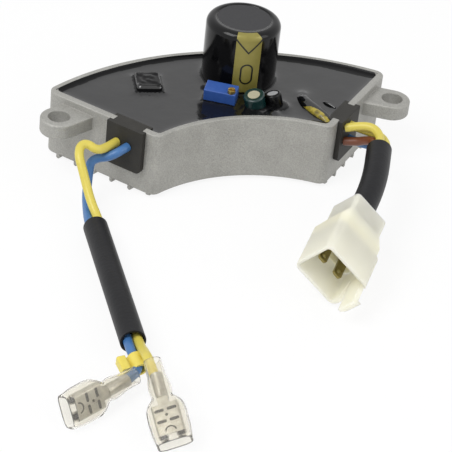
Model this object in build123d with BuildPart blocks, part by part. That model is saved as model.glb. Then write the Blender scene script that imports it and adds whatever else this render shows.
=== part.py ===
from build123d import *
import os
from math import pi, radians, sqrt, tan

# Voltage regulator of a small petrol generator: a half-moon die-cast tray with its circuit potted in
# resin, a two-wire lead that ends in spade receptacles and a four-wire lead that ends in a plug.
# Millimetres, +Z up. The origin is the bottom centre of the regulator without its leads, X runs from
# ear to ear and Y from the generator's bearing side to the outer arc.

# Tray, an aluminium die casting
INNER_RADIUS = 45.5
TRAY_DEPTH = 39.5
INNER_HALF_WIDTH = 25.9
OUTER_HALF_WIDTH = 52.8
RIM_HEIGHT = 21.3
CORNER_RADIUS = 3.0
FRONT_WALL = 1.45
OUTER_WALL = 1.8
END_WALL = 2.1
CAVITY_CORNER = 1.4
FLOOR_UNDERSIDE = 1.0
FLOOR_THICKNESS = 2.0
FOOT_FILLET = 0.8
RIM_FILLET = 0.3
RIB_COUNT = 6
FIRST_RIB_RADIUS = 47.6
RIB_PITCH = 6.4
RIB_WIDTH = 1.2
RIB_SINK = 0.5

# Ears with the two fixing holes
HOLE_SPACING = 102.0
HOLE_LINE_RADIUS = 55.3
HOLE_RADIUS = 3.2
EAR_WIDTH = 11.0
EAR_ANGLE = 28.0
EAR_ROOT = 10.0
EAR_DROP = 2.2
EAR_THICKNESS = 4.7
EAR_FILLET = 0.6

# Rubber grommets in the two end walls, measured along the wall from its front corner
GROMMET_CENTRE = 10.55
GROMMET_WIDTH = 12.5
GROMMET_HEIGHT = 13.8
GROMMET_LIP = 1.2
GROMMET_CORNER = 1.8
GROMMET_NECK_CORNER = 1.0
OUTER_FLANGE = 1.5
INNER_FLANGE = 1.4

# Resin and circuit board
RESIN_DROP = 1.0
BOARD_UNDERSIDE = 9.0
BOARD_THICKNESS = 1.6
BOARD_CLEARANCE = 1.0
PIN_TAIL = 1.2

# Main capacitor, a snap-in can beside the outer wall
CAN_X = 6.45
CAN_CLEARANCE = 1.341
CAN_DIAMETER = 22.0
CAN_HEIGHT = 29.6
CAN_WALL = 0.4
CAN_EDGE = 1.0
CAN_BUNG = 2.6
CAN_GROOVE = 0.7
CAN_GROOVE_WIDTH = 1.6
CAN_FILM = 0.15
CAN_DISC_RADIUS = 8.0
CAN_DISC = 0.12
CAN_PIN_SPACING = 10.0
CAN_PIN_WIDTH = 1.5
CAN_PIN_THICKNESS = 0.8
WINDING_CORE = 3.0

# Trimmer with its adjusting screw
TRIMMER_X = -2.65
TRIMMER_Y = -4.76
TRIMMER_TOP = 25.0
TRIMMER_LENGTH = 9.53
TRIMMER_WIDTH = 4.83
TRIMMER_HEIGHT = 10.03
TRIMMER_EDGE = 0.25
TRIMMER_TURN = -28.2
TRIMMER_LEAN = 10.0
TRIMMER_PIN_DIAMETER = 0.51
TRIMMER_PIN_PITCH = 2.54
SCREW_ALONG = 3.3
SCREW_ACROSS = 1.2
SCREW_HEAD_DIAMETER = 2.19
SCREW_HEAD_PROUD = 1.1
SCREW_HEAD_SUNK = 1.2
SCREW_SHANK_DIAMETER = 1.5
SCREW_SHANK_LENGTH = 6.0
SCREW_SLOT_WIDTH = 0.64
SCREW_SLOT_DEPTH = 0.76
RUNNING_FIT = 0.05
SCREW_END_PLAY = 0.1

# Two small capacitors that lean a little: top centre, way down the can, can diameter and length
GREEN_TOP = (6.2, -8.7, 24.5)
GREEN_DOWN = (0.26, 0.114, -0.959)
GREEN_DIAMETER = 6.3
GREEN_LENGTH = 7.0
GREEN_TOP_OPENING = 3.7
BLACK_TOP = (12.2, -8.0, 24.2)
BLACK_DOWN = (0.24, -0.19, -0.952)
BLACK_DIAMETER = 5.0
BLACK_LENGTH = 7.0
BLACK_TOP_OPENING = 3.3
SMALL_FILM = 0.12
SMALL_WALL = 0.4
SMALL_BUNG = 1.2
SMALL_EDGE = 0.4
SMALL_LEAD_DIAMETER = 0.5
SMALL_LEAD_SHARE = 0.4

# Rectifier block standing on four legs
BRIDGE_X = -21.9
BRIDGE_Y = 6.5
BRIDGE_SIDE = 8.3
BRIDGE_TOP = 22.4
BRIDGE_HEIGHT = 9.0
BRIDGE_EDGE = 0.6
BRIDGE_LEG_DIAMETER = 0.9
BRIDGE_LEG_PITCH = 5.1

# Power transistor, bedded on the tray floor
TRANSISTOR_X = 24.0
TRANSISTOR_Y = 3.0
TRANSISTOR_WIDTH = 10.2
TRANSISTOR_BODY = 9.2
TRANSISTOR_HEIGHT = 4.5
TRANSISTOR_TAB = 6.2
TRANSISTOR_TAB_THICKNESS = 1.3
TRANSISTOR_HOLE = 3.8
TRANSISTOR_LEAD_REACH = 3.0
TRANSISTOR_LEAD_LEVEL = 2.4
TRANSISTOR_LEAD_SIDE = 0.7
TRANSISTOR_LEAD_PITCH = 2.54
PAD_THICKNESS = 0.2
PAD_MARGIN = 0.8

# Axial parts lying on the board, in a row at each end
RESISTOR_X = -33.0
DIODE_X = 35.0
AXIAL_FIRST_Y = -1.0
AXIAL_PITCH = 4.2
AXIAL_COUNT = 3
RESISTOR_DIAMETER = 2.4
RESISTOR_LENGTH = 6.5
DIODE_DIAMETER = 2.7
DIODE_LENGTH = 5.2
AXIAL_LEAD_DIAMETER = 0.6
AXIAL_LEAD_SPAN = 10.0
AXIAL_LEAD_BEND = 0.8
AXIAL_LIFT = 0.2

# Hook-up wire and sleeving
WIRE_DIAMETER = 2.6
CONDUCTOR_DIAMETER = 1.2
WIRE_TAIL_REACH = 7.0
WIRE_PITCH = 2.68
ARC_SHARE = 0.45
LINK_LEAD_IN = 3.2
SLEEVE_LEAD_IN = 3.8
LEFT_SLEEVE_DIAMETER = 6.9
LEFT_SLEEVE_BORE = 5.8
LEFT_SLEEVE_TOP = (-46.5, -40.7, 3.75)
LEFT_SLEEVE_END = (-47.95, -95.0, 5.6)
RIGHT_SLEEVE_DIAMETER = 7.4
RIGHT_SLEEVE_BORE = 6.8
RIGHT_SLEEVE_TOP = (38.8, -31.0, 17.2)
RIGHT_SLEEVE_BEND = 18.0
SLEEVE_IN_PLUG = 0.3
WIRE_IN_COLLAR = 1.4
WIRE_BEFORE_CAVITY = 0.3

# Where each wire passes its grommet: distance along the end wall and height
LEFT_YELLOW_EXIT = (13.0, 15.45)
LEFT_BLUE_EXIT = (9.2, 15.25)
RIGHT_FRONT_YELLOW_EXIT = (7.0, 18.4)
RIGHT_REAR_YELLOW_EXIT = (10.7, 17.6)
RIGHT_BROWN_EXIT = (7.4, 13.6)
RIGHT_BLUE_EXIT = (11.0, 12.8)

# Spade receptacles in soft clear insulators
INSULATOR_LENGTH = 24.0
INSULATOR_WIDTH = 9.0
INSULATOR_HEIGHT = 4.7
INSULATOR_CORNER = 1.8
WIRE_BEFORE_NECK = 1.0
INSULATOR_WALL = 0.5
NECK_WIDTH = 5.6
NECK_HEIGHT = 4.6
NECK_CORNER = 2.0
NECK_LENGTH = 8.5
SHOULDER_LENGTH = 3.5
RECEPTACLE_SETBACK = 1.2
RECEPTACLE_LENGTH = 8.0
RECEPTACLE_WIDTH = 7.4
RECEPTACLE_HEIGHT = 2.6
RECEPTACLE_SHEET = 0.4
RECEPTACLE_CURL_GAP = 2.6
RECEPTACLE_CURL_DROP = 0.8
RECEPTACLE_BEND = 0.6
RECEPTACLE_NECK_WIDTH = 3.0
RECEPTACLE_NECK_LENGTH = 2.0
BARREL_LENGTH = 7.0
BARREL_DIAMETER = 3.4
BLUE_MOUTH = (-69.8, -118.8, 4.5)
BLUE_AXIS = (0.865, 0.5, 0.01)
BLUE_WIDTH_WAY = (0.316, -0.318, -0.893)
YELLOW_MOUTH = (-45.66, -132.3, 3.1)
YELLOW_AXIS = (-0.04, 0.952, 0.303)
YELLOW_WIDTH_WAY = (0.939, -0.076, 0.334)

# Cable marker clipped on the blue wire
MARKER_SHARE = 0.5
MARKER_LENGTH = 3.2
MARKER_WALL = 0.6
MARKER_FIT = 0.15
MARKER_TAG_WIDTH = 2.4
MARKER_TAG_HEIGHT = 3.0
MARKER_TAG_CORNER = 0.5
MARKER_WEB = 0.8
MARKER_WEB_LENGTH = 0.5

# Four-way plug housing, moulded nylon
PLUG_MOUTH = (9.17, -80.97, 10.9)
PLUG_AXIS = (-0.551, -0.826, -0.116)
PLUG_SIDE_WAY = (0.658, -0.345, -0.674)
PLUG_WIDTH = 16.4
PLUG_HEIGHT = 13.7
PLUG_CORNER = 2.2
PLUG_WALL = 1.3
HOOD_DEPTH = 12.0
HOOD_LENGTH = 17.3
HOOD_FRONT_LENGTH = 11.8
HOOD_STEP = 0.8
COLLAR_LENGTH = 7.4
COLLAR_WIDTH = 12.3
COLLAR_HEIGHT = 10.6
COLLAR_CORNER = 1.2
COLLAR_WALL = 0.95
POCKET_CORNER = 0.6
POCKET_DEPTH = 6.2
CAVITY_WIDTH = 3.4
CAVITY_HEIGHT = 3.0
CAVITY_SPACING_ACROSS = 6.1
CAVITY_SPACING_UP = 5.6
BLADE_SLOT_DEPTH = 1.0
BLADE_WIDTH = 2.8
BLADE_THICKNESS = 0.8
BLADE_SETBACK = 5.0
BLADE_HOLE_DIAMETER = 1.2
BLADE_HOLE_SETBACK = 1.6
BLADE_TIP_CHAMFER = 0.5
TAB_BARREL_LENGTH = 3.0
TAB_BARREL_WIDTH = 2.5
TAB_BARREL_HEIGHT = 2.3
TAB_BARREL_CORNER = 0.6
TAB_FIT = 0.1
ARCH_WIDTH = 3.0
ARCH_DEPTH = 0.8
LATCH_CENTRE = 1.9
LATCH_WIDTH = 5.4
LATCH_THICKNESS = 1.5
LATCH_REACH = 6.6
LATCH_TIP = 0.9
LATCH_BARB = 1.2
LATCH_BARB_LENGTH = 2.2
LATCH_SLOT = 0.8
LATCH_SLOT_DEPTH = 6.0
LATCH_NOTCH = 2.6

os.makedirs("parts", exist_ok=True)


def save(part, label):
    """Label one finished piece and write its file."""
    part.label = label
    export_step(part, f"parts/{label}.step")


# Lines of the tray's right end: its direction, its outward normal and its distance from the arc centre
outer_radius = INNER_RADIUS + TRAY_DEPTH
inner_end = Vector(INNER_HALF_WIDTH, sqrt(INNER_RADIUS**2 - INNER_HALF_WIDTH**2))
outer_end = Vector(OUTER_HALF_WIDTH, sqrt(outer_radius**2 - OUTER_HALF_WIDTH**2))
end_way = (outer_end - inner_end).normalized()
end_normal = Vector(end_way.Y, -end_way.X)
end_distance = inner_end.dot(end_normal)


def end_corner(radius, inset):
    """Point where an arc of this radius meets the right end line moved inwards by inset."""
    distance = end_distance - inset
    return end_normal * distance + end_way * sqrt(radius**2 - distance**2)


def half_moon(inner_radius, outer_radius, inset, corner_radius):
    """Face between two arcs about the sketch origin, closed by the end lines moved inwards."""
    inner = end_corner(inner_radius, inset)
    outer = end_corner(outer_radius, inset)
    with BuildSketch(mode=Mode.PRIVATE) as face:
        with BuildLine():
            Line(inner, outer)
            ThreePointArc(outer, (0, outer_radius), (-outer.X, outer.Y))
            Line((-outer.X, outer.Y), (-inner.X, inner.Y))
            ThreePointArc((-inner.X, inner.Y), (0, inner_radius), inner)
        make_face()
        fillet(face.vertices(), corner_radius)
    return face.sketch


tray_outline = half_moon(INNER_RADIUS, outer_radius, 0, CORNER_RADIUS)
outline_box = tray_outline.bounding_box()
arc_centre_y = -(outline_box.min.Y + outline_box.max.Y) / 2
cavity_inner_radius = INNER_RADIUS + FRONT_WALL
cavity_outer_radius = outer_radius - OUTER_WALL
cavity_outline = half_moon(cavity_inner_radius, cavity_outer_radius, END_WALL, CAVITY_CORNER)
floor_top = FLOOR_UNDERSIDE + FLOOR_THICKNESS
ear_top = RIM_HEIGHT - EAR_DROP
resin_top = RIM_HEIGHT - RESIN_DROP
board_top = BOARD_UNDERSIDE + BOARD_THICKNESS
grommet_bottom = RIM_HEIGHT - GROMMET_HEIGHT


def arc_level(height):
    """Horizontal plane at this height with its origin on the axis of the tray's arcs."""
    return Plane((0, arc_centre_y, height))


# Upright planes on the two end walls: local X along the wall from its front corner, local Y up,
# local Z outwards on the right and inwards on the left
front_corner = Vector(inner_end.X, inner_end.Y + arc_centre_y, 0)
right_end = Plane(front_corner, x_dir=end_way, z_dir=end_normal)
left_end = Plane(
    (-front_corner.X, front_corner.Y, 0),
    x_dir=(-end_way.X, end_way.Y, 0),
    z_dir=(end_normal.X, -end_normal.Y, 0),
)


def right_point(along, out, height):
    """Point by its distance along the right end wall, outwards from it, and its height."""
    return right_end.from_local_coords(Vector(along, height, out))


def left_point(along, out, height):
    """The same on the left end wall."""
    return left_end.from_local_coords(Vector(along, height, -out))


def wall_face(width, bottom, top, corner_radius):
    """Upright face about the grommet's centre line, with rounded bottom corners."""
    with BuildSketch(mode=Mode.PRIVATE) as face:
        with Locations((GROMMET_CENTRE, bottom)):
            Rectangle(width, top - bottom, align=(Align.CENTER, Align.MIN))
        fillet(face.vertices().group_by(Axis.Y)[0], corner_radius)
    return face.sketch


neck_width = GROMMET_WIDTH - 2 * GROMMET_LIP
neck_bottom = grommet_bottom + GROMMET_LIP
flange_face = wall_face(GROMMET_WIDTH, grommet_bottom, RIM_HEIGHT, GROMMET_CORNER)
neck_face = wall_face(neck_width, neck_bottom, RIM_HEIGHT, GROMMET_NECK_CORNER)

# Tray block, its ribs, ears and grommet slots, then the whole casting
with BuildPart() as tray_block:
    with BuildSketch(arc_level(FLOOR_UNDERSIDE)):
        add(tray_outline)
    extrude(amount=RIM_HEIGHT - FLOOR_UNDERSIDE)
    fillet(tray_block.faces().sort_by(Axis.Z)[0].edges(), FOOT_FILLET)
    fillet(tray_block.faces().sort_by(Axis.Z)[-1].edges(), RIM_FILLET)

with BuildPart() as ribs:
    with BuildSketch(Plane((0, arc_centre_y, 0), x_dir=(0, 1, 0), z_dir=(1, 0, 0))):
        rib_places = [(FIRST_RIB_RADIUS + RIB_PITCH * step, RIB_WIDTH / 2) for step in range(RIB_COUNT)]
        with Locations(*rib_places):
            Circle(RIB_WIDTH / 2)
            rib_shank = FLOOR_UNDERSIDE + RIB_SINK - RIB_WIDTH / 2
            Rectangle(RIB_WIDTH, rib_shank, align=(Align.CENTER, Align.MIN))
    revolve(axis=Axis((0, arc_centre_y, 0), (0, 0, 1)), revolution_arc=360)
    with BuildSketch(Plane((0, arc_centre_y, -RIB_WIDTH))):
        add(tray_outline)
    extrude(amount=RIM_HEIGHT, mode=Mode.INTERSECT)

with BuildPart() as ears:
    with BuildSketch(arc_level(ear_top - EAR_THICKNESS)):
        with Locations(Location((HOLE_SPACING / 2, HOLE_LINE_RADIUS, 0), (0, 0, -EAR_ANGLE))):
            Circle(EAR_WIDTH / 2)
            Rectangle(EAR_ROOT, EAR_WIDTH, align=(Align.MAX, Align.CENTER))
        mirror(about=Plane.YZ)
    extrude(amount=EAR_THICKNESS)
    fillet(ears.edges().group_by(Axis.Z)[-1], EAR_FILLET)
    fillet(ears.edges().group_by(Axis.Z)[0], EAR_FILLET)

with BuildPart() as grommet_slots:
    with BuildSketch(right_end.offset(-END_WALL * 2)):
        add(wall_face(neck_width, neck_bottom, RIM_HEIGHT + RIM_FILLET, GROMMET_NECK_CORNER))
    extrude(amount=END_WALL * 3)
    mirror(about=Plane.YZ)

with BuildPart() as housing:
    add(tray_block.part)
    add(ribs.part)
    add(ears.part)
    with BuildSketch(arc_level(floor_top)):
        add(cavity_outline)
    extrude(amount=RIM_HEIGHT, mode=Mode.SUBTRACT)
    add(grommet_slots.part, mode=Mode.SUBTRACT)
    with BuildSketch(arc_level(0)):
        with Locations((HOLE_SPACING / 2, HOLE_LINE_RADIUS), (-HOLE_SPACING / 2, HOLE_LINE_RADIUS)):
            Circle(HOLE_RADIUS)
    extrude(amount=RIM_HEIGHT, mode=Mode.SUBTRACT)
save(housing.part, "housing")


# Grommets: an outer flange, a neck that fills the slot and an inner flange, with a hole for each wire
def grommet(wire_exits):
    """Right-hand grommet with a hole at each of these places on the end wall."""
    with BuildPart() as rubber:
        with BuildSketch(right_end):
            add(flange_face)
        extrude(amount=OUTER_FLANGE)
        with BuildSketch(right_end.offset(-END_WALL)):
            add(neck_face)
        extrude(amount=END_WALL)
        with BuildSketch(right_end.offset(-END_WALL - INNER_FLANGE)):
            add(flange_face)
        extrude(amount=INNER_FLANGE)
        with BuildSketch(right_end.offset(OUTER_FLANGE)):
            with Locations(*wire_exits):
                Circle(WIRE_DIAMETER / 2)
        extrude(amount=-(OUTER_FLANGE + END_WALL + INNER_FLANGE), mode=Mode.SUBTRACT)
    return rubber.part


left_exits = [LEFT_YELLOW_EXIT, LEFT_BLUE_EXIT]
right_exits = [RIGHT_FRONT_YELLOW_EXIT, RIGHT_REAR_YELLOW_EXIT, RIGHT_BROWN_EXIT, RIGHT_BLUE_EXIT]
right_grommet = grommet(right_exits)
left_grommet = mirror(grommet(left_exits), about=Plane.YZ)
save(right_grommet, "right_grommet")
save(left_grommet, "left_grommet")


# Wire tails: each wire runs on through its grommet into the resin, and its bared end into the board.
# The front yellow wire has no tail of this kind, because it goes on as the link wire.
def wire_tail(wire_exit, reach):
    """One insulated tail through the right end wall, this far past the wall's outer face."""
    with BuildPart() as tail:
        with BuildSketch(right_end.offset(OUTER_FLANGE)):
            with Locations(wire_exit):
                Circle(WIRE_DIAMETER / 2)
        extrude(amount=-(OUTER_FLANGE + reach))
    return tail.part


def soldered_tail(wire_exit):
    """One tail with its conductor bent down into the board."""
    along, height = wire_exit
    foot = right_point(along, CONDUCTOR_DIAMETER - WIRE_TAIL_REACH, BOARD_UNDERSIDE - PIN_TAIL)
    with BuildPart() as tail:
        add(wire_tail(wire_exit, WIRE_TAIL_REACH))
        with BuildSketch(Plane(foot)):
            Circle(CONDUCTOR_DIAMETER / 2)
        extrude(amount=height - foot.Z)
    return tail.part.solids()[0]


grommet_depth = END_WALL + INNER_FLANGE
right_tails = [soldered_tail(place) for place in right_exits[1:]]
left_tails = [mirror(soldered_tail(place), about=Plane.YZ) for place in left_exits]
link_tail = wire_tail(RIGHT_FRONT_YELLOW_EXIT, grommet_depth).solids()[0]
tails = Compound(children=[*right_tails, *left_tails, link_tail])
save(tails, "wire_tails")


def bend_radii(points):
    """Tangent arc at each corner of a route: a share of the shorter run over the tangent of half the turn."""
    radii = []
    for before, corner, after in zip(points, points[1:], points[2:]):
        arriving = Vector(*corner) - Vector(*before)
        leaving = Vector(*after) - Vector(*corner)
        half_turn = radians(arriving.get_angle(leaving)) / 2
        radii.append(ARC_SHARE * min(arriving.length, leaving.length) / tan(half_turn))
    return radii


def round_tube(points, diameter, radii):
    """Solid round tube along straight runs joined by tangent arcs, and the length of its route."""
    with BuildPart() as tube:
        with BuildLine() as route:
            FilletPolyline(*points, radius=radii)
        with BuildSketch(Plane(route.line @ 0, z_dir=route.line % 0)):
            Circle(diameter / 2)
        sweep(path=route.line)
    return tube.part, route.wire().length


def wire(points, label):
    """Write one wire and compare its volume with its section times its length."""
    radii = bend_radii(points)
    part, length = round_tube(points, WIRE_DIAMETER, radii)
    swept = pi * WIRE_DIAMETER**2 / 4 * length
    shown = ", ".join(f"{radius:.1f}" for radius in radii)
    print(f"{label}: length {length:.1f}, radii {shown}, volume {part.volume:.1f} of {swept:.1f}")
    save(part, label)
    return part


# Link wire: the inner end of a yellow lead, half sunk in the resin, that dives to the board
link_along, link_height = RIGHT_FRONT_YELLOW_EXIT
link_points = [
    right_point(link_along, -grommet_depth, link_height),
    right_point(link_along, -grommet_depth - LINK_LEAD_IN, link_height),
    (23.0, -11.4, 20.2),
    (22.2, -7.6, 20.3),
    (23.3, -3.6, 19.0),
    (25.0, -1.3, 15.9),
    (25.0, -1.3, board_top),
]
link_wire = wire(link_points, "link_wire")

# Main capacitor: aluminium can with a groove rolled in over its bung, shrink film, disc and two pins
can_bottom = board_top + CAN_FILM
can_top = can_bottom + CAN_HEIGHT
can_radius = CAN_DIAMETER / 2
can_reach = cavity_outer_radius - CAN_CLEARANCE - CAN_FILM - can_radius
can_y = arc_centre_y + sqrt(can_reach**2 - CAN_X**2)
groove_height = can_bottom + CAN_BUNG + CAN_GROOVE_WIDTH
can_axis = Axis((CAN_X, can_y, 0), (0, 0, 1))
can_section = Plane((CAN_X, can_y, 0), x_dir=(1, 0, 0), z_dir=(0, -1, 0))

with BuildSketch() as can_void:
    Rectangle(can_radius - CAN_WALL, CAN_HEIGHT - CAN_WALL, align=(Align.MIN, Align.MIN))
    with Locations((can_radius - CAN_WALL, groove_height - can_bottom)):
        Ellipse(CAN_GROOVE, CAN_GROOVE_WIDTH / 2, mode=Mode.SUBTRACT)


def cup_block(radius, height, edge):
    """Solid round block on the main capacitor's axis, its top edge rounded."""
    with BuildPart() as block:
        with BuildSketch(Plane((CAN_X, can_y, can_bottom))):
            Circle(radius)
        extrude(amount=height)
        fillet(block.edges().group_by(Axis.Z)[-1], edge)
    return block.part


can_block = cup_block(can_radius, CAN_HEIGHT, CAN_EDGE)
with BuildPart() as can:
    add(can_block)
    with BuildSketch(can_section):
        with Locations((0, can_bottom)):
            add(can_void.sketch)
    revolve(axis=can_axis, mode=Mode.SUBTRACT)
    with BuildSketch(can_section):
        with Locations((can_radius, groove_height)):
            Ellipse(CAN_GROOVE, CAN_GROOVE_WIDTH / 2)
        with Locations((can_radius, groove_height)):
            Rectangle(CAN_GROOVE, CAN_GROOVE_WIDTH, align=(Align.MIN, Align.CENTER), mode=Mode.SUBTRACT)
    revolve(axis=can_axis, mode=Mode.SUBTRACT)
save(can.part, "main_capacitor_can")

bung_top = groove_height - CAN_GROOVE_WIDTH / 2
with BuildPart() as can_pins:
    with BuildSketch(Plane((CAN_X, can_y, BOARD_UNDERSIDE - PIN_TAIL))):
        with GridLocations(CAN_PIN_SPACING, 0, 2, 1):
            Rectangle(CAN_PIN_WIDTH, CAN_PIN_THICKNESS)
    extrude(amount=bung_top - BOARD_UNDERSIDE + PIN_TAIL)
save(can_pins.part, "main_capacitor_pins")

with BuildPart() as can_bung:
    with BuildSketch(Plane((CAN_X, can_y, can_bottom))):
        Circle(can_radius - CAN_WALL)
    extrude(amount=bung_top - can_bottom)
    add(can_pins.part, mode=Mode.SUBTRACT)
save(can_bung.part, "main_capacitor_bung")

winding_radius = can_radius - 2 * CAN_WALL - CAN_GROOVE
winding_bottom = bung_top + CAN_WALL
with BuildPart() as winding:
    with BuildSketch(Plane((CAN_X, can_y, winding_bottom))):
        Circle(winding_radius)
        Circle(WINDING_CORE / 2, mode=Mode.SUBTRACT)
    extrude(amount=can_top - CAN_WALL - winding_bottom)
save(winding.part, "main_capacitor_winding")

with BuildPart() as can_film:
    add(cup_block(can_radius + CAN_FILM, CAN_HEIGHT + CAN_FILM, CAN_EDGE + CAN_FILM))
    add(can_block, mode=Mode.SUBTRACT)
    with BuildSketch(Plane((CAN_X, can_y, can_top))):
        Circle(CAN_DISC_RADIUS)
    extrude(amount=CAN_FILM, mode=Mode.SUBTRACT)
save(can_film.part, "main_capacitor_sleeve")

with BuildPart() as can_disc:
    with BuildSketch(Plane((CAN_X, can_y, can_top))):
        Circle(CAN_DISC_RADIUS)
    extrude(amount=CAN_DISC)
save(can_disc.part, "main_capacitor_disc")

# Trimmer: a block on three pins, leaning on its long side, with an adjusting screw in its top
trimmer_place = Location((TRIMMER_X, TRIMMER_Y, TRIMMER_TOP), (0, 0, TRIMMER_TURN)) * Location(
    (0, 0, 0), (TRIMMER_LEAN, 0, 0)
)
trimmer_top = Plane(trimmer_place)
screw_place = trimmer_top.from_local_coords(Vector(SCREW_ALONG, -SCREW_ACROSS, 0))
screw_plane = Plane(screw_place, x_dir=trimmer_top.x_dir, z_dir=trimmer_top.z_dir)
print("trimmer screw at", screw_place, "along", screw_plane.z_dir)
head_radius = SCREW_HEAD_DIAMETER / 2
shank_radius = SCREW_SHANK_DIAMETER / 2

with BuildPart() as trimmer_block:
    with BuildSketch(trimmer_top):
        Rectangle(TRIMMER_LENGTH, TRIMMER_WIDTH)
    extrude(amount=-TRIMMER_HEIGHT)
    fillet(trimmer_block.edges(), TRIMMER_EDGE)

with BuildPart() as trimmer_body:
    add(trimmer_block.part)
    with BuildSketch(screw_plane):
        Circle(head_radius + RUNNING_FIT)
    extrude(amount=-(SCREW_HEAD_SUNK + SCREW_END_PLAY), mode=Mode.SUBTRACT)
    with BuildSketch(screw_plane):
        Circle(shank_radius + RUNNING_FIT)
    extrude(amount=-(SCREW_SHANK_LENGTH + SCREW_END_PLAY), mode=Mode.SUBTRACT)
save(trimmer_body.part, "trimmer_body")

with BuildPart() as trimmer_screw:
    with BuildSketch(screw_plane.offset(-SCREW_HEAD_SUNK)):
        Circle(head_radius)
    extrude(amount=SCREW_HEAD_SUNK + SCREW_HEAD_PROUD)
    with BuildSketch(screw_plane.offset(-SCREW_SHANK_LENGTH)):
        Circle(shank_radius)
    extrude(amount=SCREW_SHANK_LENGTH)
    with BuildSketch(screw_plane.offset(SCREW_HEAD_PROUD)):
        Rectangle(SCREW_HEAD_DIAMETER * 2, SCREW_SLOT_WIDTH)
    extrude(amount=-SCREW_SLOT_DEPTH, mode=Mode.SUBTRACT)
save(trimmer_screw.part, "trimmer_screw")

trimmer_bottom = trimmer_top.offset(-TRIMMER_HEIGHT)
pin_reach = trimmer_bottom.origin.Z - BOARD_UNDERSIDE + PIN_TAIL
with BuildPart() as trimmer_pins:
    with BuildSketch(trimmer_bottom):
        with GridLocations(TRIMMER_PIN_PITCH, 0, 3, 1):
            Circle(TRIMMER_PIN_DIAMETER / 2)
    extrude(amount=-pin_reach)
save(trimmer_pins.part, "trimmer_pins")


# Small capacitors: bare can, shrink film with an opening at the top, rubber bung and two leads
def small_capacitor(top, down, diameter, length, opening):
    """Can, film, bung and leads of one small capacitor from the plane of its top."""
    top_plane = Plane(top, z_dir=Vector(*down) * -1)
    with BuildPart() as bare_can:
        with BuildSketch(top_plane.offset(-SMALL_FILM)):
            Circle(diameter / 2 - SMALL_FILM)
        extrude(amount=SMALL_FILM - length)
        fillet(bare_can.faces().sort_by(Axis.Z)[-1].edges(), SMALL_EDGE)
    with BuildPart() as film:
        with BuildSketch(top_plane):
            Circle(diameter / 2)
        extrude(amount=-length)
        fillet(film.faces().sort_by(Axis.Z)[-1].edges(), SMALL_EDGE + SMALL_FILM)
        add(bare_can.part, mode=Mode.SUBTRACT)
        with BuildSketch(top_plane):
            Circle(opening / 2)
        extrude(amount=-SMALL_FILM, mode=Mode.SUBTRACT)
    bottom_plane = top_plane.offset(-length)
    with BuildPart() as leads:
        with BuildSketch(bottom_plane.offset(SMALL_BUNG)):
            with GridLocations(diameter * SMALL_LEAD_SHARE, 0, 2, 1):
                Circle(SMALL_LEAD_DIAMETER / 2)
        extrude(amount=-(SMALL_BUNG + bottom_plane.origin.Z - BOARD_UNDERSIDE + PIN_TAIL))
    with BuildPart() as bung:
        with BuildSketch(bottom_plane):
            Circle(diameter / 2 - SMALL_WALL)
        extrude(amount=SMALL_BUNG)
        add(leads.part, mode=Mode.SUBTRACT)
    with BuildPart() as cup:
        add(bare_can.part)
        with BuildSketch(bottom_plane):
            Circle(diameter / 2 - SMALL_WALL)
        extrude(amount=SMALL_BUNG, mode=Mode.SUBTRACT)
    return cup.part, film.part, bung.part, leads.part


green_can, green_film, green_bung, green_leads = small_capacitor(
    GREEN_TOP, GREEN_DOWN, GREEN_DIAMETER, GREEN_LENGTH, GREEN_TOP_OPENING
)
black_can, black_film, black_bung, black_leads = small_capacitor(
    BLACK_TOP, BLACK_DOWN, BLACK_DIAMETER, BLACK_LENGTH, BLACK_TOP_OPENING
)
small_bungs = Compound(children=[*green_bung.solids(), *black_bung.solids()])
small_leads = Compound(children=[*green_leads.solids(), *black_leads.solids()])
save(green_can, "green_capacitor_can")
save(green_film, "green_capacitor_sleeve")
save(black_can, "black_capacitor_can")
save(black_film, "black_capacitor_sleeve")
save(small_bungs, "small_capacitor_bungs")
save(small_leads, "small_capacitor_leads")

# Rectifier block on its four legs
with BuildPart() as bridge:
    with BuildSketch(Plane((BRIDGE_X, BRIDGE_Y, BRIDGE_TOP))):
        Rectangle(BRIDGE_SIDE, BRIDGE_SIDE)
    extrude(amount=-BRIDGE_HEIGHT)
    fillet(bridge.edges(), BRIDGE_EDGE)
save(bridge.part, "rectifier_block")

bridge_bottom = BRIDGE_TOP - BRIDGE_HEIGHT
with BuildPart() as bridge_legs:
    with BuildSketch(Plane((BRIDGE_X, BRIDGE_Y, bridge_bottom))):
        with GridLocations(BRIDGE_LEG_PITCH, BRIDGE_LEG_PITCH, 2, 2):
            Circle(BRIDGE_LEG_DIAMETER / 2)
    extrude(amount=BOARD_UNDERSIDE - PIN_TAIL - bridge_bottom)
save(bridge_legs.part, "rectifier_legs")

# Power transistor on its insulating pad: moulded body, metal tab and three leads bent up to the board
transistor_base = floor_top + PAD_THICKNESS
tab_end = TRANSISTOR_Y + TRANSISTOR_BODY / 2 + TRANSISTOR_TAB
body_end = TRANSISTOR_Y - TRANSISTOR_BODY / 2
with BuildPart() as pad:
    with BuildSketch(Plane((TRANSISTOR_X, (tab_end + body_end) / 2, floor_top))):
        pad_length = tab_end - body_end + 2 * PAD_MARGIN
        Rectangle(TRANSISTOR_WIDTH + 2 * PAD_MARGIN, pad_length)
    extrude(amount=PAD_THICKNESS)
save(pad.part, "insulating_pad")

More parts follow.
